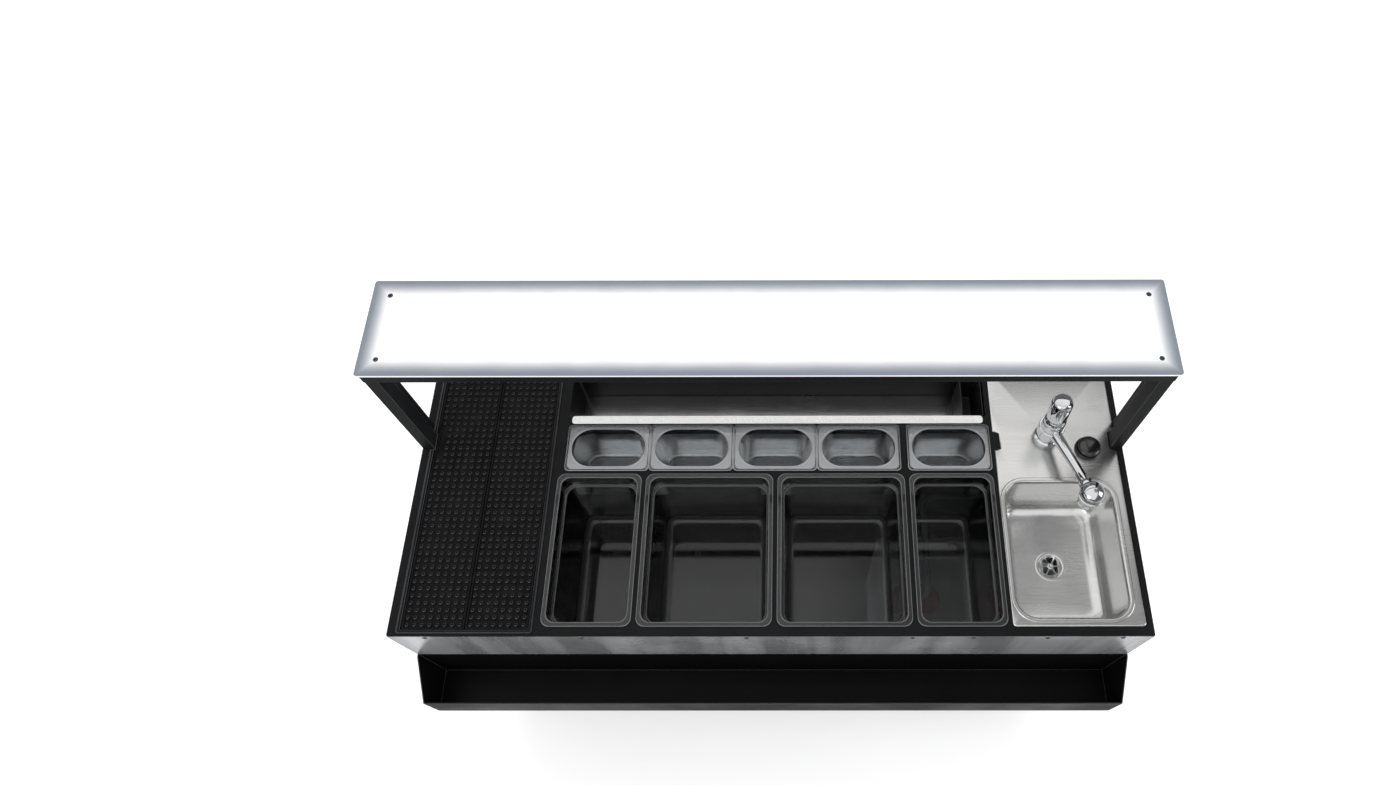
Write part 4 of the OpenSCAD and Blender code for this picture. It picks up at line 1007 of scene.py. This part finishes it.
class BAR_OT_sink(bpy.types.Operator):
    """Drainboard and bowl pressed from one sheet, with a bead round the bowl"""

    bl_idname = "bar_unit.sink"
    bl_label = "Sink"

    bowl_inset = (14 * MM, 19 * MM, 27 * MM)
    bowl_length = 285 * MM
    notch_in = 13.6 * MM
    notch_from_post = 4.6 * MM
    notch_d = 42.2 * MM
    notch_bevel = (10 * MM, 4 * MM)
    board_corner = 8 * MM
    drain_r = 27 * MM
    drain_ease = 8 * MM
    drain_rise = 0.2 * MM
    sheet = 1.6 * MM
    holes = (("tap_body", 10.5 * MM), ("pump_bezel", 9.5 * MM))

    def outline(self, low, high, z, inset):
        """The board's outline, counter-clockwise, with a notch in each side."""
        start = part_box("post_right")[0].y - self.notch_from_post - inset
        end = start + self.notch_d + 2 * inset
        across, along = self.notch_bevel
        corners = ring(low, high, self.board_corner - inset, z, inset, 5)
        half = len(corners) // 2
        edge = low.x + inset
        foot = low.x + self.notch_in + inset
        left = [(edge, end, z), (foot - across, end, z), (foot, end - along, z),
                (foot, start + along, z), (foot - across, start, z), (edge, start, z)]
        right = [(low.x + high.x - x, y, z) for x, y, z in reversed(left)]
        return corners[:half] + left + corners[half:] + right

    def execute(self, context):
        low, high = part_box("sink_unit")
        size = sizes()
        bowl_low = (low.x + self.bowl_inset[0], low.y + self.bowl_inset[1])
        bowl_high = (high.x - self.bowl_inset[2], bowl_low[1] + self.bowl_length)
        corner = size.bowl_corner / MM
        depth = -size.bowl_depth / MM
        keys = [
            (-12, 0.0, corner + 12, 0), (-10.6, 1.9, corner + 10.6, 1.0),
            (-2.8, 1.9, corner + 2.8, 3.0), (0.3, -3.2, corner, 3.0),
            (7.5, depth + 1.6, corner - 8, 30), (68, depth + 0.7, 16, 0),
        ]
        rings = [
            ring(bowl_low, bowl_high, r, WORKTOP_Z + z, inset, 10)
            for inset, z, r in rounded_profile(keys, 6)
        ]
        centre = middle_of("drain_strainer").xy
        ease = self.drain_r + self.drain_ease
        for radius, rise in ((ease, self.drain_rise), (self.drain_r, 0.0)):
            around = []
            for x, y, _ in rings[-1]:
                way = (Vector((x, y)) - centre).normalized() * radius
                around.append(
                    (centre.x + way.x, centre.y + way.y, WORKTOP_Z - size.bowl_depth + rise)
                )
            rings.append(around)
        edge = [
            self.outline(low, high, WORKTOP_Z - drop * MM, inset * MM)
            for inset, drop in ((3.2, 0.0), (2.0, 0.25), (1.0, 0.9), (0.3, 1.8), (0.0, 3.0))
        ]
        bm = bmesh.new()
        loops = [loft(bm, shape, capped=False)[0] for shape in (rings, edge)]
        for node, radius in self.holes:
            hole = circle(middle_of(node).xy, radius, WORKTOP_Z, 24)
            loops.append([bm.verts.new(point) for point in hole])
        edges = []
        for loop in loops:
            for one, two in zip(loop, loop[1:] + loop[:1]):
                edges.append(bm.edges.get((one, two)) or bm.edges.new((one, two)))
        bmesh.ops.triangle_fill(bm, use_beauty=True, edges=edges)
        bmesh.ops.remove_doubles(bm, verts=bm.verts, dist=MERGE)
        bmesh.ops.recalc_face_normals(bm, faces=bm.faces)
        upward = sum(face.normal.z * face.calc_area() for face in bm.faces)
        if upward < 0:
            bmesh.ops.reverse_faces(bm, faces=bm.faces)
        mesh = mesh_from("sink_sheet", bm, TUB_SHARP, keep_direction=True)
        solid = {"thickness": self.sheet, "offset": -1.0, "use_even_offset": True}
        mesh = baked("sink_sheet", mesh, [("SOLIDIFY", solid)])
        mesh.set_sharp_from_angle(angle=math.radians(TUB_SHARP))
        add_piece("sink_sheet", mesh, "sink", "sink_unit")
        return {"FINISHED"}


class BAR_OT_drain(bpy.types.Operator):
    """Drain flange, lift-out strainer with spokes, and the waste pipe"""

    bl_idname = "bar_unit.drain"
    bl_label = "Drain"

    spokes = 6
    spoke_z = 1.1
    spoke_half_h = 0.8
    spoke_widths = ((5.8, 2.2), (9, 1.7), (17, 1.7), (21.2, 2.6))
    spoke_top = 0.8

    def execute(self, context):
        floor = WORKTOP_Z - sizes().bowl_depth
        middle = middle_of("drain_fitting")
        centre = (middle.x, middle.y, floor)
        bottom = (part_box("drain_fitting")[0].z - floor) / MM
        flange = [
            (20.7, bottom), (26.7, bottom), (26.7, -11), (32, -11), (33, -10), (33, -3), (26.7, -3),
            (26.7, 0), (33, 0), (32.7, 0.8), (32, 1.2), (28.2, 1.3), (26.6, 0.9), (25.5, 0.3),
            (20.7, 0.0),
        ]
        turned_piece(
            "drain_flange", flange, centre, "sink", "drain_fitting", closed=True
        )
        bm = bmesh.new()
        rim = [(20.5, 0.2), (24.9, 0.2), (24.9, 1.2), (23.6, 2.2), (21.6, 2.2), (20.5, 1.4)]
        turned(bm, rim, centre, ROUND_STEPS, closed=True)
        hub = [
            (0, 0.2), (6.5, 0.2), (6.5, 1.6), (5.2, 2.4), (4, 2.6), (4, 6), (3.4, 8.6), (1.8, 9.6),
            (0, 9.8),
        ]
        turned(bm, hub, centre, 32)
        h = self.spoke_half_h
        for spoke in range(self.spokes):
            turn = Matrix.Rotation(2 * math.pi * spoke / self.spokes, 4, "Z")
            place = Matrix.Translation((middle.x, middle.y, floor + self.spoke_z * MM)) @ turn
            rings = []
            for x, w in self.spoke_widths:
                top = w * self.spoke_top
                corners = ((-w, -h), (w, -h), (top, h), (-top, h))
                rings.append([place @ (Vector((x, y, z)) * MM) for y, z in corners])
            loft(bm, rings)
        mesh = mesh_from("strainer_star", bm, TURNED_SHARP)
        add_piece(mesh.name, mesh, "drain", "drain_strainer")
        rounded_copy("drain_pipe", "pipe", 0.6 * MM)
        return {"FINISHED"}


class BAR_OT_tap(bpy.types.Operator):
    """Chrome tap: body, swinging spout with a ball head, and a lever"""

    bl_idname = "bar_unit.tap"
    bl_label = "Tap"

    head_r = 26
    collar_z = 34 * MM
    spout_r = 12.6
    spout_taper = 2.7
    spout_steps = 16
    spout_span = (0.12, 0.82)
    spout_arch = 0.10
    lever_z = 68 * MM
    lever_r = 22.8
    grip_r = 21.5
    lever_lean = math.radians(8.0)

    def execute(self, context):
        centre = on_worktop("tap_body")
        shank = (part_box("tap_body")[0].z - WORKTOP_Z) / MM
        body = [
            (0, shank), (10, shank), (10, -12), (15.5, -12), (16, -11), (16, -4.2), (10, -4.1),
            (10, 0), (26.5, 0), (27, 0.6), (27, 2.6), (26, 3.6), (24.2, 4.2), (23, 5.4), (23, 60.2),
            (22.7, 61.4), (22.3, 61.8), (22.1, 61.6), (21, 58.7), (17.6, 53.2), (12.9, 49),
            (7.1, 46.2), (0, 45.1),
        ]
        turned_piece(
            "tap_column", body, centre, "chrome", "tap_body", sharp=COLUMN_SHARP
        )
        self.spout(centre)
        self.lever(centre)
        return {"FINISHED"}

    def arc(self, radius, first, last):
        """Points of a ball's profile, every six degrees down from its top."""
        angles = [math.radians(degrees) for degrees in range(first, last, 6)]
        return [(radius * math.sin(angle), radius * math.cos(angle)) for angle in angles]

    def spout(self, centre):
        low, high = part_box("tap_spout")
        r = self.head_r
        head = Vector((high.x - r * MM, low.y + r * MM, high.z - r * MM))
        start = Vector((centre.x, centre.y, WORKTOP_Z + self.collar_z))
        bm = bmesh.new()
        collar = [(23.1, -12), (26, -12), (27, -11), (27, 11), (26, 12), (23.1, 12)]
        turned(bm, collar, start, ROUND_STEPS, closed=True)
        way = head - start
        flat = Vector((way.x, way.y, 0.0))
        begin, span = self.spout_span
        path = []
        radii = []
        for step in range(self.spout_steps + 1):
            t = step / self.spout_steps
            share = begin + span * t
            rise = way.z * (share + self.spout_arch * math.sin(math.pi * share))
            path.append(start + flat * share + Vector((0.0, 0.0, rise)))
            radii.append((self.spout_r - self.spout_taper * min(t * 2.2, 1.0)) * MM)
        swept(bm, path, radii, 28)
        ahead = (path[-1] - path[-3]).normalized()
        tilt = ahead.to_track_quat("Z", "Y").to_matrix().to_4x4()
        sleeve = [
            (9.8, -34), (12.5, -33), (14, -31), (14.6, -22), (14.6, -12), (12.5, -10), (9.7, -9.6),
        ]
        turned(bm, sleeve, path[-1] + ahead * 12 * MM, 40, closed=True, tilt=tilt)
        seam = [(r - 0.4, 1.8), (r - 1.6, 1.1), (r - 1.6, -1.1), (r - 0.4, -1.8)]
        nozzle = [
            (18.8, -17.6), (18.6, -19), (19, -20.4), (19, -34.8), (18.4, -37), (17, -38),
            (15.5, -37.4), (15, -35), (15, -28), (0, -28),
        ]
        ball = [(0, r), *self.arc(r, 9, 84), *seam, *self.arc(r, 98, 129)]
        turned(bm, ball + nozzle, head, BALL_STEPS)
        mesh = mesh_from("tap_spout_dressed", bm, SMALL_SHARP)
        add_piece(mesh.name, mesh, "chrome", "tap_spout")

    def lever(self, centre):
        ball_z = WORKTOP_Z + self.lever_z
        up = (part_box("tap_lever")[1].z - ball_z) / MM
        tall = (up - self.grip_r) / math.cos(self.lever_lean) + self.grip_r
        cap = ((0, 1), (6, 1.2), (11, 1.8), (15.5, 3), (18.6, 5.2), (20.4, 8.5), (21.5, 12))
        grip = [(radius, tall - below) for radius, below in cap] + [(21.5, 20), (20.6, 15.4)]
        bm = bmesh.new()
        lean = Matrix.Rotation(-self.lever_lean, 4, "X")
        ball = self.arc(self.lever_r, 60, 181)
        turned(bm, grip + ball, Vector((centre.x, centre.y, ball_z)), BALL_STEPS, tilt=lean)
        mesh = mesh_from("tap_lever_dressed", bm, SMALL_SHARP)
        add_piece(mesh.name, mesh, "chrome", "tap_lever")


class BAR_OT_button(bpy.types.Operator):
    """Round pump button with a domed top, in a stepped ring"""

    bl_idname = "bar_unit.button"
    bl_label = "Pump button"

    def execute(self, context):
        centre = on_worktop("pump_bezel")
        bezel = [
            (5.3, -24), (9, -24), (9, -10), (13.4, -10), (14, -9.4), (14, -4.2), (9, -4.1), (9, 0),
            (27, 0), (27, 3.6), (26.4, 5.6), (25.4, 7.4), (24.6, 8), (23.6, 7.6), (23.4, 3),
            (5.3, 3),
        ]
        turned_piece(
            "bezel_ring", bezel, centre, "bezel", "pump_bezel", closed=True
        )
        button = [
            (0, -18), (5, -18), (5, 7), (22.6, 7), (23, 7.6), (23, 14.6), (22.6, 16.2),
            (21.6, 17.4), (19.6, 18.3), (16, 19.1), (11, 19.6), (6, 19.9), (0, 20),
        ]
        turned_piece("button_cap", button, centre, "button", "pump_button")
        return {"FINISHED"}


class BAR_OT_shelf(bpy.types.Operator):
    """Lit upper shelf with its frame, posts, light strips and corner screws"""

    bl_idname = "bar_unit.shelf"
    bl_label = "Upper shelf"

    screw_inset = 34 * MM
    screw_drop = 2.6 * MM
    screw_mm = (2.5, 5, 2.5, 2.2, 2.4, 16)

    def execute(self, context):
        rounded_copy("lit_panel", "lit", 1.2 * MM, 3)
        for node, finish in (
            ("shelf_frame", "shelf"), ("post_left", "post"), ("post_right", "post")
        ):
            # The second finish paints a highlight along the rounded edges.
            rounded_copy(node, (finish, "worn"), 0.8 * MM)
        repaint("light_strips", "strip")
        low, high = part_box("lit_panel")
        places = [
            (x, y, high.z - self.screw_drop)
            for x in (low.x + self.screw_inset, high.x - self.screw_inset)
            for y in (low.y + self.screw_inset, high.y - self.screw_inset)
        ]
        screws("shelf_screw_heads", places, self.screw_mm, "screw", "shelf_screws")
        return {"FINISHED"}


class BAR_OT_front(bpy.types.Operator):
    """Polished apron with its screws, and the speed rail"""

    bl_idname = "bar_unit.front"
    bl_label = "Apron and speed rail"

    screw_shares = (-0.906, -0.496, -0.063, 0.372, 0.531, 0.725, 0.922)
    screw_below = 13 * MM
    screw_mm = (5, 3.6, 1.8, 2.2, 2, 6)

    def execute(self, context):
        rounded_copy("front_apron", "apron", 0.4 * MM)
        # The second finish paints a highlight along the rounded edges.
        rounded_copy("speed_rail", ("black", "worn"), 0.6 * MM)
        height = WORKTOP_Z - self.screw_below
        places = [(share * HALF_W, FRONT_Y, height) for share in self.screw_shares]
        screws(
            "apron_screw_heads", places, self.screw_mm, "screw", "apron_screws",
            (QUARTER_TURN, 0.0, 0.0),
        )
        return {"FINISHED"}


class BAR_OT_base(bpy.types.Operator):
    """Base frame, bottom deck and the riveted guest and side panels"""

    bl_idname = "bar_unit.base"
    bl_label = "Base and panels"

    margin = 14 * MM
    sunk = 0.02 * MM
    rivet_r = 4 * MM
    rivet_h = 1.2 * MM

    def line(self, start, end):
        """Places along a line, about a rivet pitch apart."""
        count = max(2, round((end - start).length / sizes().rivet_pitch))
        return [start.lerp(end, step / count) for step in range(count + 1)]

    def rivets(self, tree, node, across, outward, turn):
        """Rivets along the four sides of a panel, whose width runs along x (0) or y (1)."""
        low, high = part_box(node)
        away = 1 - across
        face = high[away] - self.sunk if outward > 0 else low[away] + self.sunk
        left, right = low[across] + self.margin, high[across] - self.margin
        foot, top = low.z + self.margin, high.z - self.margin
        corners = []
        for along, z in ((left, foot), (right, foot), (right, top), (left, top)):
            corner = Vector((face, face, z))
            corner[across] = along
            corners.append(corner)
        places = []
        for one, two in zip(corners, corners[1:] + corners[:1]):
            places += self.line(one, two)[:-1]
        start = points_mesh(f"{node}_places", places)
        values = {"Radius": self.rivet_r, "Height": self.rivet_h, "Turn": turn}
        grown(f"{node}_rivets", tree, start, "screw", node, values, False)

    def execute(self, context):
        rounded_copy("base_frame", "black", 1.2 * MM)
        rounded_copy("bottom_deck", "deck", 1.0 * MM)
        panels = (
            ("guest_panel", 0, 1, (-QUARTER_TURN, 0.0, 0.0)),
            ("side_panel_left", 1, -1, (0.0, -QUARTER_TURN, 0.0)),
            ("side_panel_right", 1, 1, (0.0, QUARTER_TURN, 0.0)),
        )
        for node, *_ in panels:
            rounded_copy(node, "panel", 0.5 * MM)
        tree = rivet_tree()
        for panel in panels:
            self.rivets(tree, *panel)
        return {"FINISHED"}


class BAR_OT_water(bpy.types.Operator):
    """Water tanks with their caps, the pump and the supply hose"""

    bl_idname = "bar_unit.water"
    bl_label = "Water system"

    tank_h = 350 * MM
    grooves = (0.30, 0.36, 0.42)
    neck_r = 28
    neck_h = 16
    handle_in = 35 * MM
    handle_r = 5.6 * MM
    handle = ((52, -4), (52, 12), (49, 22), (42, 28), (30, 29))
    hose_rise = 70 * MM
    hose_r = 7 * MM
    hose_bend = 40 * MM
    hose_sunk = 0.3 * MM
    rib_sunk = 0.4 * MM
    rib_short = 5 * MM

    def tank(self, name, node, cap):
        low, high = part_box(node)
        neck = middle_of(cap).xy
        top = low.z + self.tank_h
        bm = bmesh.new()
        height = self.tank_h / MM
        keys = [(30, 0, 10, 0), (0.6, 0, 14, 10)]
        for groove in self.grooves:
            z = height * groove
            keys += [
                (0.2, z, 14, 2), (2.4, z + 4, 13, 2), (2.4, z + 7, 13, 2), (0.2, z + 11, 14, 2),
            ]
        keys += [(0.2, height, 14, 12), (34, height, 8, 0)]
        profile = rounded_profile(keys)
        loft(bm, [ring(low, high, corner, low.z + z, inset, 8) for inset, z, corner in profile])
        r, h = self.neck_r, self.neck_h
        neck_profile = [
            (r - 3, -0.2), (r, -0.2), (r, 3), (r + 0.6, 4), (r, 5), (r, 7), (r + 0.6, 8), (r, 9),
            (r, h), (r - 3, h),
        ]
        turned(bm, neck_profile, (neck.x, neck.y, top), 48, closed=True)
        middle = (low.x + high.x) / 2
        way = [(-x, z) for x, z in self.handle] + list(reversed(self.handle))
        path = [Vector((middle + x * MM, low.y + self.handle_in, top + z * MM)) for x, z in way]
        swept(bm, path, [self.handle_r] * len(path), 20)
        add_piece(name, mesh_from(name, bm, SMALL_SHARP), "tank", node)

    def execute(self, context):
        self.tank("fresh_tank_shell", "fresh_tank", "fresh_cap")
        self.tank("waste_tank_shell", "waste_tank", "waste_cap")
        tree = rib_tree()
        for node in ("fresh_cap", "waste_cap"):
            low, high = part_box(node)
            rounded_copy(node, "cap", 1.2 * MM, 3)
            start = points_mesh(f"{node}_middle", [middle_of(node)])
            values = {
                "Count": sizes().cap_ribs,
                "Radius": (high.x - low.x) / 2 - self.rib_sunk,
                "Height": high.z - low.z - self.rib_short,
            }
            grown(f"{node}_ribs", tree, start, "cap", node, values, False)
        repaint("water_pump", "pump")
        self.hose()
        return {"FINISHED"}

    def hose(self):
        """The hose runs up from the fresh tank, back, across and up to the tap's shank."""
        low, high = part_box("supply_hose")
        start = middle_of("fresh_cap")
        end = middle_of("tap_body")
        run_z = low.z - self.hose_sunk + self.hose_rise
        route = [
            (start.x, start.y, low.z), (start.x, start.y, run_z), (start.x, end.y, run_z),
            (end.x, end.y, run_z), (end.x, end.y, high.z),
        ]
        mesh = points_mesh("hose_route", route, [(i, i + 1) for i in range(len(route) - 1)])
        values = {"Radius": self.hose_r, "Bend": self.hose_bend}
        grown("supply_hose_tube", hose_tree(), mesh, "hose", "supply_hose", values)


class BAR_OT_power(bpy.types.Operator):
    """Power box with its mains inlet and rocker switch"""

    bl_idname = "bar_unit.power"
    bl_label = "Power box"

    def execute(self, context):
        rounded_copy("power_box", "power", 0.8 * MM)
        rounded_copy("power_switch", "switch", 0.6 * MM)
        return {"FINISHED"}


class BAR_OT_casters(bpy.types.Operator):
    """Swivel casters: plates, forks, wheels with hubs, and brake pedals"""

    bl_idname = "bar_unit.casters"
    bl_label = "Casters"

    plate_back = 32
    plate_holes = ((-37, -29), (-37, 29), (37, -29), (37, 29))
    screw_sunk = 4 * MM
    screw_mm = (6, 4.3, 2.6, 2.6, 3, 3.9)
    tread = ((33, -13), (36, -14.6), (40, -14.8), (43.4, -12.6), (44.9, -8))
    hub = (
        (5.05, -15), (12.5, -15), (14, -14), (15, -10.6), (28.5, -10.6), (30, -11.4), (31.4, -13.2),
        (33, -13.4),
    )

    def wheel(self, node):
        lay = Matrix.Rotation(QUARTER_TURN, 4, "X")
        for part, half, crown in (("tread", self.tread, [(45, 0)]), ("hub", self.hub, [])):
            profile = [*half, *crown, *((r, -z) for r, z in reversed(half))]
            name = f"{node}_{part}"
            bm = bmesh.new()
            turned(bm, profile, middle_of(node), BALL_STEPS, closed=True, tilt=lay)
            mesh = mesh_from(name, bm, TURNED_SHARP)
            add_piece(name, mesh, part, node, part == "tread")

    def execute(self, context):
        rounded_copy("caster_plates", "zinc", 0.6 * MM)
        for place in CASTERS:
            rounded_copy(f"fork_{place}", "zinc", 0.7 * MM)
            self.wheel(f"wheel_{place}")
        for side in ("left", "right"):
            rounded_copy(f"pedal_{side}", "pedal", 0.8 * MM)
        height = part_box("caster_plates")[1].z - self.screw_sunk
        places = []
        for place in CASTERS:
            wheel = middle_of(f"wheel_{place}")
            x = wheel.x - self.plate_back * MM
            places += [(x + dx * MM, wheel.y + dy * MM, height) for dx, dy in self.plate_holes]
        screws(
            "caster_plate_screws", places, self.screw_mm, "zinc", "caster_plates",
            (2 * QUARTER_TURN, 0.0, 0.0), False,
        )
        return {"FINISHED"}


class BAR_OT_stage(bpy.types.Operator):
    """Pale floor, white surroundings, soft studio lamps and the camera"""

    bl_idname = "bar_unit.stage"
    bl_label = "Stage"

    half_floor = 15.0
    fill = 0.42
    lamps = (
        ("overhead", (-0.3, -0.5, 3.4), (4.6, 2.6), 34.0, (-0.3, -0.2, 0.0), False),
        ("back", (0.3, 2.2, 3.0), (5.0, 2.4), 50.0, (0.2, 0.2, 0.8), False),
        ("front left", (-2.6, -3.2, 2.6), (2.4, 1.8), 30.0, (0.0, 0.0, 0.7), True),
        ("right", (3.4, -0.6, 2.4), (1.6, 2.2), 26.0, (0.2, 0.0, 0.8), True),
    )

    def floor(self):
        material = bpy.data.materials.new("pale floor")
        material.use_nodes = True
        tree = material.node_tree
        nodes = Nodes(tree)
        tree.nodes.remove(tree.nodes["Principled BSDF"])
        seen = nodes.add("ShaderNodeLightPath", out="Is Camera Ray")
        matte = nodes.add("ShaderNodeBsdfDiffuse", None, (0.8, 0.8, 0.8, 1.0))
        place = nodes.add("ShaderNodeTexCoord", out="Object")
        away = nodes.add("ShaderNodeVectorMath", {"operation": "LENGTH"}, place, out="Value")
        glow = nodes.ramp(away, 2.0, 6.0, 0.5, 0.72)
        glow = nodes.add("ShaderNodeEmission", None, (1.0, 1.0, 1.0, 1.0), seen * glow)
        both = nodes.add("ShaderNodeAddShader", None, matte, glow)
        nodes.fill(tree.nodes["Material Output"].inputs["Surface"], both)
        half = self.half_floor
        corners = [(-half, -half, 0), (half, -half, 0), (half, half, 0), (-half, half, 0)]
        mesh = bpy.data.meshes.new("floor")
        mesh.from_pydata(corners, [], [(0, 1, 2, 3)])
        mesh.materials.append(material)
        placed("floor", mesh)

    def surroundings(self):
        """White all round, with a grey ceiling and dark sides that show in polished pieces only."""
        world = bpy.data.worlds.new("white surroundings")
        world.use_nodes = True
        nodes = Nodes(world.node_tree)
        camera_ray = nodes.add("ShaderNodeLightPath", out="Is Camera Ray")
        mirrored = camera_ray.also("Is Glossy Ray")
        seen = camera_ray.maths("MAXIMUM", mirrored)
        seen = seen.maths("MAXIMUM", camera_ray.also("Is Transmission Ray"))
        way = nodes.add("ShaderNodeTexCoord", out="Generated")
        x = nodes.add("ShaderNodeSeparateXYZ", None, way, out="X")
        up = x.also("Z").maths("MAXIMUM", 0.01)
        across, back = x / up, x.also("Y") / up
        ceiling = nodes.ramp(across, 0.0, 0.15) * nodes.ramp(back, -0.3, 0.0)
        ceiling = ceiling * nodes.ramp(back, 0.38, 0.46, 1.0, 0.0)
        far_wall = nodes.ramp(back, 0.54, 0.62) * nodes.ramp(back, 1.2, 2.0, 1.0, 0.0)
        grey = (ceiling * 0.79 + far_wall * 0.2) * nodes.ramp(up, 0.3, 0.5)
        horizon = nodes.ramp(up, 0.02, 0.08) * nodes.ramp(up, 0.2, 0.34, 1.0, 0.0)
        for dark in (horizon, nodes.ramp(across, 0.56, 0.7), nodes.ramp(back, 0.7, 0.85)):
            grey = grey.maths("MAXIMUM", dark * 0.95)
        strength = seen * (1.0 - self.fill) + self.fill + mirrored * (0.12 - grey)
        background = world.node_tree.nodes["Background"]
        nodes.fill(background.inputs["Color"], (1.0, 1.0, 1.0, 1.0))
        nodes.fill(background.inputs["Strength"], strength)
        bpy.context.scene.world = world

    def lamp(self, name, place, size, power, target, mirrored):
        light = bpy.data.lights.new(name, "AREA")
        light.shape = "RECTANGLE"
        light.size, light.size_y = size
        light.energy = power
        lamp = placed(name, light)
        lamp.location = place
        lamp.rotation_euler = (Vector(target) - Vector(place)).to_track_quat("-Z", "Y").to_euler()
        lamp.visible_glossy = mirrored

    def camera(self):
        """Places the camera from its pan, tilt and roll, with the frame's own shift."""
        zenith = Vector((0.0, 0.0, 1.0))
        right = Vector((math.cos(CAMERA_PAN), math.sin(CAMERA_PAN), 0.0))
        flat = Vector((-math.sin(CAMERA_PAN), math.cos(CAMERA_PAN), 0.0))
        ahead = flat * math.cos(CAMERA_TILT) - zenith * math.sin(CAMERA_TILT)
        upward = flat * math.sin(CAMERA_TILT) + zenith * math.cos(CAMERA_TILT)
        side = right * math.cos(CAMERA_ROLL) + upward * math.sin(CAMERA_ROLL)
        top = upward * math.cos(CAMERA_ROLL) - right * math.sin(CAMERA_ROLL)
        lens = bpy.data.cameras.new("camera")
        lens.sensor_width = 36.0
        lens.lens = FOCAL_PX * lens.sensor_width / IMAGE_W
        lens.shift_x = (IMAGE_W / 2 - CENTRE_PX[0]) / IMAGE_W
        lens.shift_y = (CENTRE_PX[1] - IMAGE_H / 2) / IMAGE_W
        camera = placed("camera", lens)
        turn = Matrix((side, top, -ahead)).transposed().to_4x4()
        place = Vector((0.0, FRONT_Y, WORKTOP_Z)) + CAMERA_FROM_FRONT
        camera.matrix_world = Matrix.Translation(place) @ turn
        bpy.context.scene.camera = camera

    def execute(self, context):
        self.floor()
        self.surroundings()
        for lamp in self.lamps:
            self.lamp(*lamp)
        self.camera()
        context.scene.view_settings.view_transform = "Standard"
        return {"FINISHED"}


PIECES = (
    BAR_OT_stage, BAR_OT_worktop, BAR_OT_mats, BAR_OT_wells, BAR_OT_garnish, BAR_OT_trough,
    BAR_OT_sink, BAR_OT_drain, BAR_OT_tap, BAR_OT_button, BAR_OT_shelf, BAR_OT_front, BAR_OT_base,
    BAR_OT_water, BAR_OT_power, BAR_OT_casters,
)


class BAR_PT_unit(bpy.types.Panel):
    """Lists the sizes, the colours and the pieces of the bar unit"""

    bl_idname = "BAR_PT_unit"
    bl_label = "Mobile bar unit"
    bl_space_type = "VIEW_3D"
    bl_region_type = "UI"
    bl_category = "Bar unit"

    def draw(self, context):
        for group in (context.scene.bar_sizes, context.scene.bar_colours):
            column = self.layout.column(align=True)
            for name in group.__annotations__:
                column.prop(group, name)
        column = self.layout.column(align=True)
        for piece in PIECES:
            column.operator(piece.bl_idname)


CLASSES = (BarSizes, BarColours, *PIECES, BAR_PT_unit)


def register():
    for item in CLASSES:
        bpy.utils.register_class(item)
    bpy.types.Scene.bar_sizes = PointerProperty(type=BarSizes)
    bpy.types.Scene.bar_colours = PointerProperty(type=BarColours)


def unregister():
    del bpy.types.Scene.bar_colours
    del bpy.types.Scene.bar_sizes
    for item in reversed(CLASSES):
        bpy.utils.unregister_class(item)


def main():
    register()
    for piece in PIECES:
        group, name = piece.bl_idname.split(".")
        getattr(getattr(bpy.ops, group), name)()


if __name__ == "__main__":
    main()
